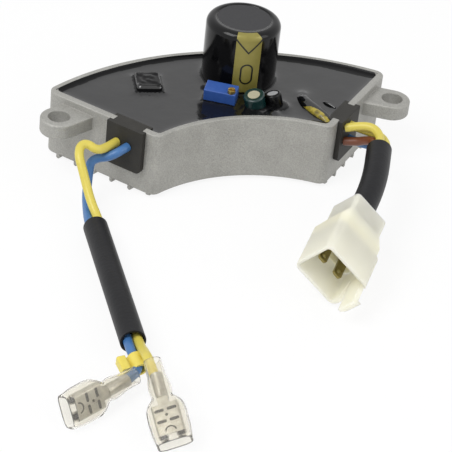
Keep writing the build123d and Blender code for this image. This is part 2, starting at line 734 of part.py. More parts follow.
with BuildPart() as transistor:
    with BuildSketch(Plane((TRANSISTOR_X, tab_end, transistor_base))):
        Rectangle(TRANSISTOR_WIDTH, TRANSISTOR_TAB, align=(Align.CENTER, Align.MAX))
        with Locations((0, -TRANSISTOR_TAB / 2)):
            Circle(TRANSISTOR_HOLE / 2, mode=Mode.SUBTRACT)
    extrude(amount=TRANSISTOR_TAB_THICKNESS)
    with BuildSketch(Plane((TRANSISTOR_X, TRANSISTOR_Y, transistor_base))):
        Rectangle(TRANSISTOR_WIDTH, TRANSISTOR_BODY)
    extrude(amount=TRANSISTOR_HEIGHT)
save(transistor.part, "power_transistor")

lead_level = transistor_base + TRANSISTOR_LEAD_LEVEL
lead_side = Plane((TRANSISTOR_X, body_end, lead_level), x_dir=(0, -1, 0), z_dir=(-1, 0, 0))
with BuildPart() as transistor_leads:
    with BuildSketch(lead_side.offset(-TRANSISTOR_LEAD_SIDE / 2)):
        Rectangle(TRANSISTOR_LEAD_REACH, TRANSISTOR_LEAD_SIDE, align=(Align.MIN, Align.CENTER))
        with Locations((TRANSISTOR_LEAD_REACH, -TRANSISTOR_LEAD_SIDE / 2)):
            lead_rise = board_top + PIN_TAIL - lead_level
            Rectangle(TRANSISTOR_LEAD_SIDE, lead_rise, align=(Align.MAX, Align.MIN))
    extrude(amount=TRANSISTOR_LEAD_SIDE)
lead_row = [
    Pos(TRANSISTOR_LEAD_PITCH * step, 0, 0) * transistor_leads.part.solids()[0] for step in (-1, 0, 1)
]
lead_group = Compound(children=lead_row)
save(lead_group, "transistor_leads")


# Axial parts: round bodies lying on the board, their leads bent down through it
def axial_row(centre_x, diameter, length):
    """Bodies and leads of one row of axial parts."""
    height = board_top + AXIAL_LIFT + diameter / 2
    foot_drop = height - BOARD_UNDERSIDE + PIN_TAIL
    bodies = []
    leads = []
    for step in range(AXIAL_COUNT):
        centre = Vector(centre_x, AXIAL_FIRST_Y + AXIAL_PITCH * step, height)
        with BuildPart() as body:
            with BuildSketch(Plane(centre - Vector(length / 2, 0, 0), z_dir=(1, 0, 0))):
                Circle(diameter / 2)
            extrude(amount=length)
        bodies.append(body.part.solids()[0])
        for way in (-1, 1):
            start = centre + Vector(way * length / 2, 0, 0)
            bend = centre + Vector(way * AXIAL_LEAD_SPAN / 2, 0, 0)
            lead_route = [start, bend, bend - Vector(0, 0, foot_drop)]
            lead = round_tube(lead_route, AXIAL_LEAD_DIAMETER, AXIAL_LEAD_BEND)[0]
            leads.append(lead.solids()[0])
    return bodies, leads


resistor_bodies, resistor_leads = axial_row(RESISTOR_X, RESISTOR_DIAMETER, RESISTOR_LENGTH)
diode_bodies, diode_leads = axial_row(DIODE_X, DIODE_DIAMETER, DIODE_LENGTH)
resistors = Compound(children=resistor_bodies)
diodes = Compound(children=diode_bodies)
axial_leads = Compound(children=[*resistor_leads, *diode_leads])
save(resistors, "resistors")
save(diodes, "diodes")
save(axial_leads, "axial_leads")

# Circuit board, drilled for every lead that passes it
through_board = [
    can_pins.part,
    trimmer_pins.part,
    small_leads,
    bridge_legs.part,
    lead_group,
    axial_leads,
    tails,
]
board_inset = grommet_depth + BOARD_CLEARANCE
board_outline = half_moon(
    cavity_inner_radius + BOARD_CLEARANCE, cavity_outer_radius - BOARD_CLEARANCE, board_inset, CAVITY_CORNER
)
with BuildPart() as board:
    with BuildSketch(arc_level(BOARD_UNDERSIDE)):
        add(board_outline)
    extrude(amount=BOARD_THICKNESS)
    for group in through_board:
        add(group.solids(), mode=Mode.SUBTRACT)
save(board.part, "circuit_board")

# Potting resin: fills the tray round everything that stands in it
buried = [
    *through_board,
    board.part,
    pad.part,
    transistor.part,
    right_grommet,
    left_grommet,
    link_wire,
    can_film.part,
    can_block,
    trimmer_block.part,
    green_film,
    green_can,
    black_film,
    black_can,
    small_bungs,
    bridge.part,
    resistors,
    diodes,
]
with BuildPart() as resin:
    with BuildSketch(arc_level(floor_top)):
        add(cavity_outline)
    extrude(amount=resin_top - floor_top)
    for group in buried:
        add(group.solids(), mode=Mode.SUBTRACT)
save(resin.part, "potting_resin")

# Straight sleeve of the left lead, with its two wires side by side
left_top = Vector(*LEFT_SLEEVE_TOP)
left_bottom = Vector(*LEFT_SLEEVE_END)
left_way = (left_bottom - left_top).normalized()
left_across = left_way.cross(Vector(0, 0, 1)).normalized() * (WIRE_PITCH / 2)
with BuildPart() as left_sleeve:
    with BuildSketch(Plane(left_top, z_dir=left_way)):
        Circle(LEFT_SLEEVE_DIAMETER / 2)
        Circle(LEFT_SLEEVE_BORE / 2, mode=Mode.SUBTRACT)
    extrude(amount=(left_bottom - left_top).length)
save(left_sleeve.part, "left_sleeve")

above_sleeve = left_top - left_way * SLEEVE_LEAD_IN
below_sleeve = left_bottom + left_way * SLEEVE_LEAD_IN
blue_mouth = Plane(BLUE_MOUTH, x_dir=BLUE_WIDTH_WAY, z_dir=BLUE_AXIS)
yellow_mouth = Plane(YELLOW_MOUTH, x_dir=YELLOW_WIDTH_WAY, z_dir=YELLOW_AXIS)
barrel_rear = RECEPTACLE_SETBACK + RECEPTACLE_LENGTH + RECEPTACLE_NECK_LENGTH + BARREL_LENGTH

left_yellow_points = [
    left_point(LEFT_YELLOW_EXIT[0], OUTER_FLANGE, LEFT_YELLOW_EXIT[1]),
    (-39.9, -18.9, 15.0),
    (-43.7, -19.3, 16.4),
    (-46.9, -20.6, 15.6),
    (-47.8, -23.4, 12.6),
    (-47.0, -27.6, 9.6),
    (-45.6, -32.0, 6.4),
    above_sleeve - left_across,
    below_sleeve - left_across,
    (-45.4, -102.8, 9.1),
    yellow_mouth.offset(INSULATOR_LENGTH + WIRE_BEFORE_NECK).origin,
    yellow_mouth.offset(barrel_rear).origin,
]
left_blue_points = [
    left_point(LEFT_BLUE_EXIT[0], OUTER_FLANGE, LEFT_BLUE_EXIT[1]),
    (-37.4, -21.2, 15.0),
    (-41.2, -22.4, 13.4),
    (-44.2, -23.6, 10.2),
    (-46.4, -26.2, 6.6),
    (-47.9, -31.4, 4.2),
    above_sleeve + left_across,
    below_sleeve + left_across,
    blue_mouth.offset(INSULATOR_LENGTH + WIRE_BEFORE_NECK).origin,
    blue_mouth.offset(barrel_rear).origin,
]
wire([tuple(point) for point in left_yellow_points], "left_yellow_wire")
wire([tuple(point) for point in left_blue_points], "left_blue_wire")

# Cable marker: a ring round the blue wire between sleeve and terminal, with a tag on a short web
marker_start = Vector(left_blue_points[-3])
marker_run = Vector(left_blue_points[-2]) - marker_start
marker_plane = Plane(marker_start + marker_run * MARKER_SHARE, x_dir=(-1, 0, 0), z_dir=marker_run)
marker_radius = WIRE_DIAMETER / 2 + MARKER_FIT + MARKER_WALL
with BuildPart() as marker:
    with BuildSketch(marker_plane.offset(-MARKER_LENGTH / 2)):
        Circle(marker_radius)
        web_reach = marker_radius + MARKER_WEB_LENGTH + MARKER_TAG_CORNER
        Rectangle(web_reach, MARKER_WEB, align=(Align.MIN, Align.CENTER))
        with Locations((marker_radius + MARKER_WEB_LENGTH + MARKER_TAG_WIDTH / 2, 0)):
            RectangleRounded(MARKER_TAG_WIDTH, MARKER_TAG_HEIGHT, MARKER_TAG_CORNER)
        Circle(WIRE_DIAMETER / 2 + MARKER_FIT, mode=Mode.SUBTRACT)
    extrude(amount=MARKER_LENGTH)
save(marker.part, "cable_marker")


# Receptacle and clear insulator of one terminal, each from the plane of the insulator's mouth
def receptacle(mouth):
    """Folded sheet receptacle with curled sides, a neck and a round crimp barrel."""
    section = mouth.offset(RECEPTACLE_SETBACK)
    half_width = (RECEPTACLE_WIDTH - RECEPTACLE_SHEET) / 2
    half_height = (RECEPTACLE_HEIGHT - RECEPTACLE_SHEET) / 2
    curl = RECEPTACLE_CURL_GAP / 2
    curl_end = half_height - RECEPTACLE_CURL_DROP
    neck_inner = RECEPTACLE_NECK_WIDTH - 2 * RECEPTACLE_SHEET
    with BuildPart() as metal:
        with BuildSketch(section):
            with BuildLine():
                FilletPolyline(
                    (curl, curl_end),
                    (curl, half_height),
                    (half_width, half_height),
                    (half_width, -half_height),
                    (-half_width, -half_height),
                    (-half_width, half_height),
                    (-curl, half_height),
                    (-curl, curl_end),
                    radius=RECEPTACLE_BEND,
                )
            trace(line_width=RECEPTACLE_SHEET)
        extrude(amount=RECEPTACLE_LENGTH)
        with BuildSketch(section.offset(RECEPTACLE_LENGTH)):
            Rectangle(RECEPTACLE_NECK_WIDTH, RECEPTACLE_HEIGHT)
            with Locations((0, RECEPTACLE_SHEET)):
                Rectangle(neck_inner, RECEPTACLE_HEIGHT, mode=Mode.SUBTRACT)
        extrude(amount=RECEPTACLE_NECK_LENGTH)
        with BuildSketch(mouth.offset(barrel_rear)):
            Circle(BARREL_DIAMETER / 2)
        extrude(amount=-BARREL_LENGTH)
    return metal.part


def insulator_block(mouth, inset):
    """Wide body, shoulder and narrow neck of an insulator, each side moved inwards by inset."""
    body_length = INSULATOR_LENGTH - SHOULDER_LENGTH - NECK_LENGTH
    neck_start = INSULATOR_LENGTH - NECK_LENGTH
    with BuildSketch(mode=Mode.PRIVATE) as body_section:
        RectangleRounded(INSULATOR_WIDTH - 2 * inset, INSULATOR_HEIGHT - 2 * inset, INSULATOR_CORNER - inset)
    with BuildSketch(mode=Mode.PRIVATE) as neck_section:
        RectangleRounded(NECK_WIDTH - 2 * inset, NECK_HEIGHT - 2 * inset, NECK_CORNER - inset)
    with BuildPart() as block:
        with BuildSketch(mouth):
            add(body_section.sketch)
        extrude(amount=body_length)
        with BuildSketch(mouth.offset(body_length)):
            add(body_section.sketch)
        with BuildSketch(mouth.offset(neck_start)):
            add(neck_section.sketch)
        loft()
        with BuildSketch(mouth.offset(neck_start)):
            add(neck_section.sketch)
        extrude(amount=NECK_LENGTH)
    return block.part


def insulator(mouth):
    """Soft clear insulator, open at the mouth and at the neck."""
    with BuildPart() as skin:
        add(insulator_block(mouth, 0))
        add(insulator_block(mouth, INSULATOR_WALL), mode=Mode.SUBTRACT)
    return skin.part


save(receptacle(blue_mouth), "blue_receptacle")
save(receptacle(yellow_mouth), "yellow_receptacle")
save(insulator(blue_mouth), "blue_insulator")
save(insulator(yellow_mouth), "yellow_insulator")

# Planes of the plug: its mouth, with local X towards the latch side and local Z out of the mouth
plug = Plane(PLUG_MOUTH, x_dir=PLUG_SIDE_WAY, z_dir=PLUG_AXIS)
hood_face = plug.offset(-HOOD_DEPTH)
hood_rear = plug.offset(-HOOD_LENGTH)
collar_rear = plug.offset(-HOOD_LENGTH - COLLAR_LENGTH)
pocket_floor = collar_rear.offset(POCKET_DEPTH)
cavity_length = HOOD_LENGTH + COLLAR_LENGTH - POCKET_DEPTH - HOOD_DEPTH - BLADE_SLOT_DEPTH
cavity_end = hood_face.offset(-BLADE_SLOT_DEPTH)
tab_rear = cavity_end.offset(-TAB_BARREL_LENGTH)

# Sleeve of the right lead: it bends once and enters the plug's collar, with its four wires in a square
right_top = Vector(*RIGHT_SLEEVE_TOP)
right_bend = collar_rear.offset(-RIGHT_SLEEVE_BEND).origin
right_way = (right_bend - right_top).normalized()
bundle_corner = WIRE_PITCH / 2


def right_wire_points(wire_exit, own_points, side, level):
    """Route of one right-hand wire; side and level, each 1 or -1, name its corner of the square."""
    in_bundle = plug.x_dir * (side * bundle_corner) + plug.y_dir * (level * bundle_corner)
    to_cavity = plug.x_dir * (side * CAVITY_SPACING_ACROSS / 2) + plug.y_dir * (level * CAVITY_SPACING_UP / 2)
    route = [
        right_point(wire_exit[0], OUTER_FLANGE, wire_exit[1]),
        *own_points,
        right_top - right_way * SLEEVE_LEAD_IN + in_bundle,
        right_bend + in_bundle,
        collar_rear.offset(WIRE_IN_COLLAR).origin + in_bundle,
        pocket_floor.offset(-WIRE_BEFORE_CAVITY).origin + to_cavity,
        tab_rear.origin + to_cavity,
    ]
    return [tuple(point) for point in route]


front_yellow_points = right_wire_points(
    RIGHT_FRONT_YELLOW_EXIT, [(36.4, -21.8, 20.0), (39.2, -24.2, 20.3)], -1, 1
)
rear_yellow_points = right_wire_points(
    RIGHT_REAR_YELLOW_EXIT, [(38.6, -21.2, 17.4), (41.4, -24.6, 17.6)], 1, 1
)
brown_points = right_wire_points(RIGHT_BROWN_EXIT, [(35.2, -21.8, 14.4), (37.2, -23.7, 15.9)], -1, -1)
blue_points = right_wire_points(RIGHT_BLUE_EXIT, [(37.2, -20.5, 12.9), (39.9, -23.7, 13.8)], 1, -1)
wire(front_yellow_points, "right_front_yellow_wire")
wire(rear_yellow_points, "right_rear_yellow_wire")
wire(brown_points, "right_brown_wire")
wire(blue_points, "right_blue_wire")

sleeve_points = [tuple(right_top), tuple(right_bend), tuple(collar_rear.offset(SLEEVE_IN_PLUG).origin)]
sleeve_radius = bend_radii(front_yellow_points)[-3]
with BuildPart() as right_sleeve:
    add(round_tube(sleeve_points, RIGHT_SLEEVE_DIAMETER, sleeve_radius)[0])
    add(round_tube(sleeve_points, RIGHT_SLEEVE_BORE, sleeve_radius)[0], mode=Mode.SUBTRACT)
save(right_sleeve.part, "right_sleeve")

# Plug housing, one moulding: hood, block with four cavities, collar and the latch tongue
hood_side = PLUG_WIDTH / 2
latch_low = LATCH_CENTRE - LATCH_WIDTH / 2
latch_high = LATCH_CENTRE + LATCH_WIDTH / 2
wall_side = Plane(plug.origin, x_dir=plug.y_dir, z_dir=plug.x_dir)
latch_section = Plane(plug.from_local_coords(Vector(0, latch_low, 0)), x_dir=plug.x_dir, z_dir=plug.y_dir)

with BuildPart() as plug_housing:
    with BuildSketch(plug):
        RectangleRounded(PLUG_WIDTH, PLUG_HEIGHT, PLUG_CORNER)
    extrude(amount=-HOOD_FRONT_LENGTH)
    with BuildSketch(plug.offset(-HOOD_FRONT_LENGTH)):
        with Locations((-HOOD_STEP / 2, 0)):
            RectangleRounded(PLUG_WIDTH - HOOD_STEP, PLUG_HEIGHT, PLUG_CORNER)
    extrude(amount=HOOD_FRONT_LENGTH - HOOD_LENGTH)
    with BuildSketch(hood_rear):
        RectangleRounded(COLLAR_WIDTH, COLLAR_HEIGHT, COLLAR_CORNER)
    extrude(amount=-COLLAR_LENGTH)
    with BuildSketch(plug):
        RectangleRounded(PLUG_WIDTH - 2 * PLUG_WALL, PLUG_HEIGHT - 2 * PLUG_WALL, PLUG_CORNER - PLUG_WALL)
    extrude(amount=-HOOD_DEPTH, mode=Mode.SUBTRACT)
    with BuildSketch(wall_side):
        with BuildLine():
            Polyline(
                (latch_low, 0),
                (latch_low, -LATCH_SLOT_DEPTH),
                (latch_low - LATCH_SLOT, -LATCH_SLOT_DEPTH),
                (latch_low - LATCH_NOTCH, 0),
                close=True,
            )
        make_face()
        with Locations((latch_high, 0)):
            Rectangle(LATCH_SLOT, LATCH_SLOT_DEPTH, align=(Align.MIN, Align.MAX))
    extrude(amount=PLUG_WIDTH, mode=Mode.SUBTRACT)
    with BuildSketch(latch_section):
        with BuildLine():
            Polyline(
                (hood_side - LATCH_THICKNESS, LATCH_SLOT_DEPTH),
                (hood_side, LATCH_SLOT_DEPTH),
                (hood_side, LATCH_BARB_LENGTH - LATCH_REACH),
                (hood_side + LATCH_BARB, LATCH_BARB_LENGTH - LATCH_REACH),
                (hood_side + LATCH_TIP - LATCH_THICKNESS, -LATCH_REACH),
                (hood_side - LATCH_THICKNESS, -LATCH_REACH),
                close=True,
            )
        make_face()
    extrude(amount=LATCH_WIDTH)
    with BuildSketch(collar_rear):
        RectangleRounded(COLLAR_WIDTH - 2 * COLLAR_WALL, COLLAR_HEIGHT - 2 * COLLAR_WALL, POCKET_CORNER)
    extrude(amount=POCKET_DEPTH, mode=Mode.SUBTRACT)
    with BuildSketch(cavity_end):
        with GridLocations(CAVITY_SPACING_ACROSS, CAVITY_SPACING_UP, 2, 2):
            Rectangle(CAVITY_WIDTH, CAVITY_HEIGHT)
    extrude(amount=-cavity_length, mode=Mode.SUBTRACT)
    with BuildSketch(cavity_end):
        with GridLocations(CAVITY_SPACING_ACROSS, CAVITY_SPACING_UP, 2, 2):
            Rectangle(BLADE_WIDTH + 2 * TAB_FIT, BLADE_THICKNESS + 2 * TAB_FIT)
    extrude(amount=BLADE_SLOT_DEPTH, mode=Mode.SUBTRACT)
    with BuildSketch(hood_face):
        with Locations((-CAVITY_SPACING_ACROSS / 2, -CAVITY_SPACING_UP / 2)):
            SlotCenterToCenter(ARCH_WIDTH, ARCH_WIDTH, rotation=90)
            Rectangle(ARCH_WIDTH, ARCH_WIDTH * 2, align=(Align.CENTER, Align.MAX), mode=Mode.SUBTRACT)
    extrude(amount=-ARCH_DEPTH, mode=Mode.SUBTRACT)
save(plug_housing.part, "plug_housing")

# Tabs of the plug, one on each wire: a crimp barrel seated against its slot and a blade with a hole
tab_corners = {
    "plug_tab_front_yellow": (-1, 1),
    "plug_tab_rear_yellow": (1, 1),
    "plug_tab_brown": (-1, -1),
    "plug_tab_blue": (1, -1),
}
blade_length = HOOD_DEPTH + BLADE_SLOT_DEPTH - BLADE_SETBACK
for label, (side, level) in tab_corners.items():
    tab_place = Vector(side * CAVITY_SPACING_ACROSS / 2, level * CAVITY_SPACING_UP / 2, 0)
    tab_end = Plane(cavity_end.from_local_coords(tab_place), x_dir=plug.x_dir, z_dir=plug.z_dir)
    blade_side = Plane(tab_end.origin, x_dir=plug.x_dir, z_dir=-plug.y_dir)
    with BuildPart() as tab:
        with BuildSketch(tab_end):
            RectangleRounded(TAB_BARREL_WIDTH, TAB_BARREL_HEIGHT, TAB_BARREL_CORNER)
        extrude(amount=-TAB_BARREL_LENGTH)
        with BuildSketch(blade_side):
            with BuildLine():
                Polyline(
                    (-BLADE_WIDTH / 2, 0),
                    (BLADE_WIDTH / 2, 0),
                    (BLADE_WIDTH / 2, blade_length - BLADE_TIP_CHAMFER),
                    (BLADE_WIDTH / 2 - BLADE_TIP_CHAMFER, blade_length),
                    (BLADE_TIP_CHAMFER - BLADE_WIDTH / 2, blade_length),
                    (-BLADE_WIDTH / 2, blade_length - BLADE_TIP_CHAMFER),
                    close=True,
                )
            make_face()
            with Locations((0, blade_length - BLADE_HOLE_SETBACK)):
                Circle(BLADE_HOLE_DIAMETER / 2, mode=Mode.SUBTRACT)
        extrude(amount=BLADE_THICKNESS / 2, both=True)
    save(tab.part, label)
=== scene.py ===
from math import atan2, ceil, cos, exp, hypot, pi, radians, sin, sqrt

import bmesh
import bpy
from mathutils import Matrix, Vector, noise


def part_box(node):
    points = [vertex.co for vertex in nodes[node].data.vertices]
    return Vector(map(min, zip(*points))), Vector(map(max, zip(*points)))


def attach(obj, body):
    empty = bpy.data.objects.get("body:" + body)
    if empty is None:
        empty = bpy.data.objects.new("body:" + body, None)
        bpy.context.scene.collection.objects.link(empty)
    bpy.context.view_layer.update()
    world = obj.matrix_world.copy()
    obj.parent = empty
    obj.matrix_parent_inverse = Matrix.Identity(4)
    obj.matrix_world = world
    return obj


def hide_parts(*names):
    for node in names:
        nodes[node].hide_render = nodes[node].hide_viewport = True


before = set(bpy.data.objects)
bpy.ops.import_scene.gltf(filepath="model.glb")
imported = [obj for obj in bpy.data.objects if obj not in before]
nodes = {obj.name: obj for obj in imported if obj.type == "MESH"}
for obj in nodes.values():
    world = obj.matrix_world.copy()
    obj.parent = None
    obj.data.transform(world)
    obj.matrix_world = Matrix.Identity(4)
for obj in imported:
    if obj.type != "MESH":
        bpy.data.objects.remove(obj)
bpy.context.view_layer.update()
MM = 0.001


# Studio: a pale table, a bright plain room and two soft lamps. The camera looks down on the regulator from
# the side of its leads, at the photograph's angle and distance.
def linear(code, alpha=1.0):
    """Linear colour of an sRGB hex code."""
    shares = [int(code[i : i + 2], 16) / 255 for i in (1, 3, 5)]
    return (*[c / 12.92 if c <= 0.04045 else ((c + 0.055) / 1.055) ** 2.4 for c in shares], alpha)


def add_node(tree, kind, links=(), **settings):
    """Add a node: links gives its sockets a value or another node's output, settings its own choices."""
    made = tree.nodes.new(kind)
    for name, value in settings.items():
        setattr(made, name, value)
    for key, value in dict(links).items():
        if isinstance(value, bpy.types.NodeSocket):
            tree.links.new(value, made.inputs[key])
        else:
            made.inputs[key].default_value = value
    return made


CAMERA_PLACE = (-0.15184, -0.46723, 0.30662)
CAMERA_YAW = radians(18.588)
CAMERA_DROP = radians(34.196)
CAMERA_ROLL = radians(6.623)
IMAGE_WIDTH = 452
FOCAL_PIXELS = 1909.83
SENSOR = 36.0
NEAREST_SEEN = 0.05

view = Vector((sin(CAMERA_YAW) * cos(CAMERA_DROP), cos(CAMERA_YAW) * cos(CAMERA_DROP), -sin(CAMERA_DROP)))
level = Vector((cos(CAMERA_YAW), -sin(CAMERA_YAW), 0))
upright = level.cross(view)
right = level * cos(CAMERA_ROLL) + upright * sin(CAMERA_ROLL)
above = upright * cos(CAMERA_ROLL) - level * sin(CAMERA_ROLL)
camera = bpy.data.objects.new("camera", bpy.data.cameras.new("camera"))
bpy.context.scene.collection.objects.link(camera)
camera.matrix_world = Matrix.Translation(CAMERA_PLACE) @ Matrix((right, above, -view)).transposed().to_4x4()
camera.data.sensor_width = SENSOR
camera.data.lens = FOCAL_PIXELS / IMAGE_WIDTH * SENSOR
camera.data.clip_start = NEAREST_SEEN
bpy.context.scene.camera = camera
bpy.context.scene.view_settings.view_transform = "Standard"

ROOM_LIGHT = 0.62


def seen_plainly(tree):
    """1 for what the camera sees, also in a reflection or through glass, and 0 for what lights the object."""
    ray = add_node(tree, "ShaderNodeLightPath")
    share = ray.outputs["Is Camera Ray"]
    for kind in ("Is Glossy Ray", "Is Transmission Ray"):
        links = {0: share, 1: ray.outputs[kind]}
        share = add_node(tree, "ShaderNodeMath", links, operation="MAXIMUM").outputs[0]
    return share


room = bpy.data.worlds.new("room")
bpy.context.scene.world = room
room.use_nodes = True
room.node_tree.nodes.clear()
dim = add_node(room.node_tree, "ShaderNodeBackground", {"Color": (1, 1, 1, 1), "Strength": ROOM_LIGHT})
white = add_node(room.node_tree, "ShaderNodeBackground", {"Color": (1, 1, 1, 1), "Strength": 1.0})
links = {0: seen_plainly(room.node_tree), 1: dim.outputs[0], 2: white.outputs[0]}
mixed = add_node(room.node_tree, "ShaderNodeMixShader", links)
add_node(room.node_tree, "ShaderNodeOutputWorld", {"Surface": mixed.outputs[0]})


def lamp(name, place, aim, size, power):
    """Soft square lamp at place, turned to aim."""
    light = bpy.data.objects.new(name, bpy.data.lights.new(name, "AREA"))
    light.data.size = size
    light.data.energy = power
    light.location = place
    light.rotation_euler = (Vector(aim) - Vector(place)).to_track_quat("-Z", "Y").to_euler()
    bpy.context.scene.collection.objects.link(light)


OBJECT_MIDDLE = (0, -0.04, 0.015)
lamp("main_lamp", place=(-0.55, -0.25, 0.75), aim=OBJECT_MIDDLE, size=0.5, power=5.0)
lamp("side_lamp", place=(0.6, -0.5, 0.5), aim=OBJECT_MIDDLE, size=0.5, power=1.6)

FLOOR_REACH = 3.0
SHADOW_KEPT = 0.12
corners = [(x * FLOOR_REACH, y * FLOOR_REACH, 0) for x, y in ((-1, -1), (1, -1), (1, 1), (-1, 1))]
floor_mesh = bpy.data.meshes.new("table_top")
floor_mesh.from_pydata(corners, [], [(0, 1, 2, 3)])
table_top = bpy.data.objects.new("table_top", floor_mesh)
bpy.context.scene.collection.objects.link(table_top)
paper = bpy.data.materials.new("white_paper")
paper.use_nodes = True
tree = paper.node_tree
tree.nodes.clear()
links = {0: seen_plainly(tree), 1: 1 - SHADOW_KEPT}
lit_share = add_node(tree, "ShaderNodeMath", links, operation="MULTIPLY")
plain = add_node(tree, "ShaderNodeBsdfDiffuse", {"Color": linear("#F4F4F4")})
glow = add_node(tree, "ShaderNodeEmission", {"Color": (1, 1, 1, 1), "Strength": 1.0})
links = {0: lit_share.outputs[0], 1: plain.outputs[0], 2: glow.outputs[0]}
floor_mix = add_node(tree, "ShaderNodeMixShader", links)
add_node(tree, "ShaderNodeOutputMaterial", {"Surface": floor_mix.outputs[0]})
floor_mesh.materials.append(paper)


# Tray: die-cast aluminium, half-moon, with an open top, two ears and ribs underneath. Bead blasted, so it has
# a fine grain, soft edges and faint draw marks down its walls.
def new_finish(name, **sockets):
    """New material; sockets are the shader's own values, named with underscores for spaces."""
    made = bpy.data.materials.new(name)
    made.use_nodes = True
    for socket, value in sockets.items():
        made.node_tree.nodes["Principled BSDF"].inputs[socket.replace("_", " ")].default_value = value
    return made


def mottled(made, low, high, size, detail=2.0, cover=(0.0, 1.0)):
    """Colour a finish between two hex tones, in soft patches about size millimetres across."""
    tree = made.node_tree
    place = add_node(tree, "ShaderNodeTexCoord").outputs["Object"]
    links = {"Vector": place, "Scale": 1 / (size * MM), "Detail": detail}
    patches = add_node(tree, "ShaderNodeTexNoise", links).outputs["Fac"]
    links = {"Value": patches, "From Min": cover[0], "From Max": cover[1]}
    share = add_node(tree, "ShaderNodeMapRange", links).outputs[0]
    links = {"Factor": share, "A": linear(low), "B": linear(high)}
    tones = add_node(tree, "ShaderNodeMix", links, data_type="RGBA").outputs["Result"]
    tree.links.new(tones, tree.nodes["Principled BSDF"].inputs["Base Color"])
    return tones


def embossed(made, height, depth, edge=0.0):
    """Raise a finish by a height, its depth in millimetres, on edges softened by edge."""
    tree = made.node_tree
    links = {"Height": height, "Distance": depth * MM}
    if edge:
        links["Normal"] = add_node(tree, "ShaderNodeBevel", {"Radius": edge * MM}, samples=6).outputs[0]
    bump = add_node(tree, "ShaderNodeBump", links)
    tree.links.new(bump.outputs[0], tree.nodes["Principled BSDF"].inputs["Normal"])


CAST_BLOTCH = 7.0
CAST_GRAIN = 0.35
DRAW_MARK_WIDTH = 1.6
DRAW_MARK_HEIGHT = 24.0
DRAW_MARK_SHARE = 0.6
CAST_RELIEF = 0.16
CAST_EDGE = 0.5

# Blasted casting: a neutral grey that is mottled in patches, speckled by its grain and streaked down its
# walls. The real grain is finer, and is drawn as coarse as it needs to show.
cast_aluminium = new_finish("cast_aluminium", Metallic=0.45, Roughness=0.55)
patches = mottled(cast_aluminium, "#979691", "#B0AFAA", CAST_BLOTCH, detail=3.0)
tree = cast_aluminium.node_tree
place = add_node(tree, "ShaderNodeTexCoord").outputs["Object"]
grit = add_node(tree, "ShaderNodeTexNoise", {"Vector": place, "Scale": 1 / (CAST_GRAIN * MM)}).outputs["Fac"]
links = {"Value": grit, "From Min": 0.3, "From Max": 0.7, "To Min": 0.82, "To Max": 1.12}
links = {"Factor": 1.0, "A": patches, "B": add_node(tree, "ShaderNodeMapRange", links).outputs[0]}
toned = add_node(tree, "ShaderNodeMix", links, data_type="RGBA", blend_type="MULTIPLY")
tree.links.new(toned.outputs["Result"], tree.nodes["Principled BSDF"].inputs["Base Color"])
links = {"Vector": place, "Scale": (1, 1, DRAW_MARK_WIDTH / DRAW_MARK_HEIGHT)}
stretched = add_node(tree, "ShaderNodeMapping", links).outputs[0]
links = {"Vector": stretched, "Scale": 1 / (DRAW_MARK_WIDTH * MM), "Detail": 1.0}
draw_marks = add_node(tree, "ShaderNodeTexNoise", links).outputs["Fac"]
links = {0: draw_marks, 1: DRAW_MARK_SHARE, 2: grit}
relief = add_node(tree, "ShaderNodeMath", links, operation="MULTIPLY_ADD")
embossed(cast_aluminium, relief.outputs[0], CAST_RELIEF, CAST_EDGE)

WELD = 0.002
SHARP_ANGLE = radians(30)


def reshaped(name, node_name, place, slot, *finishes):
    """Copy of a CAD node with its points moved by place, which takes and gives millimetres."""
    made = bpy.data.objects.new(name, nodes[node_name].data.copy())
    bpy.context.scene.collection.objects.link(made)
    made.matrix_world = nodes[node_name].matrix_world
    to_local = made.matrix_world.inverted()
    shape = bmesh.new()
    shape.from_mesh(made.data)
    bmesh.ops.remove_doubles(shape, verts=shape.verts, dist=WELD * MM)
    for vertex in shape.verts:
        vertex.co = to_local @ (place((made.matrix_world @ vertex.co) / MM) * MM)
    shape.to_mesh(made.data)
    shape.free()
    if "custom_normal" in made.data.attributes:
        made.data.attributes.remove(made.data.attributes["custom_normal"])
    made.data.shade_smooth()
    made.data.set_sharp_from_angle(angle=SHARP_ANGLE)
    made.data.materials.clear()
    for finish in finishes:
        made.data.materials.append(finish)
    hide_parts(node_name)
    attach(made, "regulator")
    return made


ARC_CENTRE_Y = -61.654
FIRST_RIB_REACH = 50.0
CASTING_UNDERSIDE = 1.0


def without_first_rib(spot):
    """The photographed casting has no rib along its front edge, so that one is pressed flat."""
    if spot.z < CASTING_UNDERSIDE and hypot(spot.x, spot.y - ARC_CENTRE_Y) < FIRST_RIB_REACH:
        return Vector((spot.x, spot.y, CASTING_UNDERSIDE))
    return spot


reshaped("tray_casting", "housing", without_first_rib, "cast_aluminium", cast_aluminium)


# Grommets: moulded black rubber, pressed into the slots in both end walls before the resin is poured. The
# rubber is dark and dull, and a little brown with dust.
def grained(made, size, depth, detail=2.0, edge=0.0):
    """Give a finish a fine grain of this size and depth in millimetres."""
    tree = made.node_tree
    place = add_node(tree, "ShaderNodeTexCoord").outputs["Object"]
    links = {"Vector": place, "Scale": 1 / (size * MM), "Detail": detail}
    embossed(made, add_node(tree, "ShaderNodeTexNoise", links).outputs["Fac"], depth, edge)


def dress(finish, *names):
    """Give CAD nodes a finish."""
    for name in names:
        nodes[name].data.materials.clear()
        nodes[name].data.materials.append(finish)


black_rubber = new_finish("nitrile_rubber", Roughness=0.62, Specular_IOR_Level=0.35)
mottled(black_rubber, "#201F1C", "#302E2A", 3.0)
grained(black_rubber, 0.5, 0.04, edge=0.35)
dress(black_rubber, "left_grommet", "right_grommet", "main_capacitor_bung", "small_capacitor_bungs")


# Circuit board with the parts that stand in it: glass-fibre laminate, tinned leads, moulded and lacquered
# bodies. All of it ends up inside the resin.

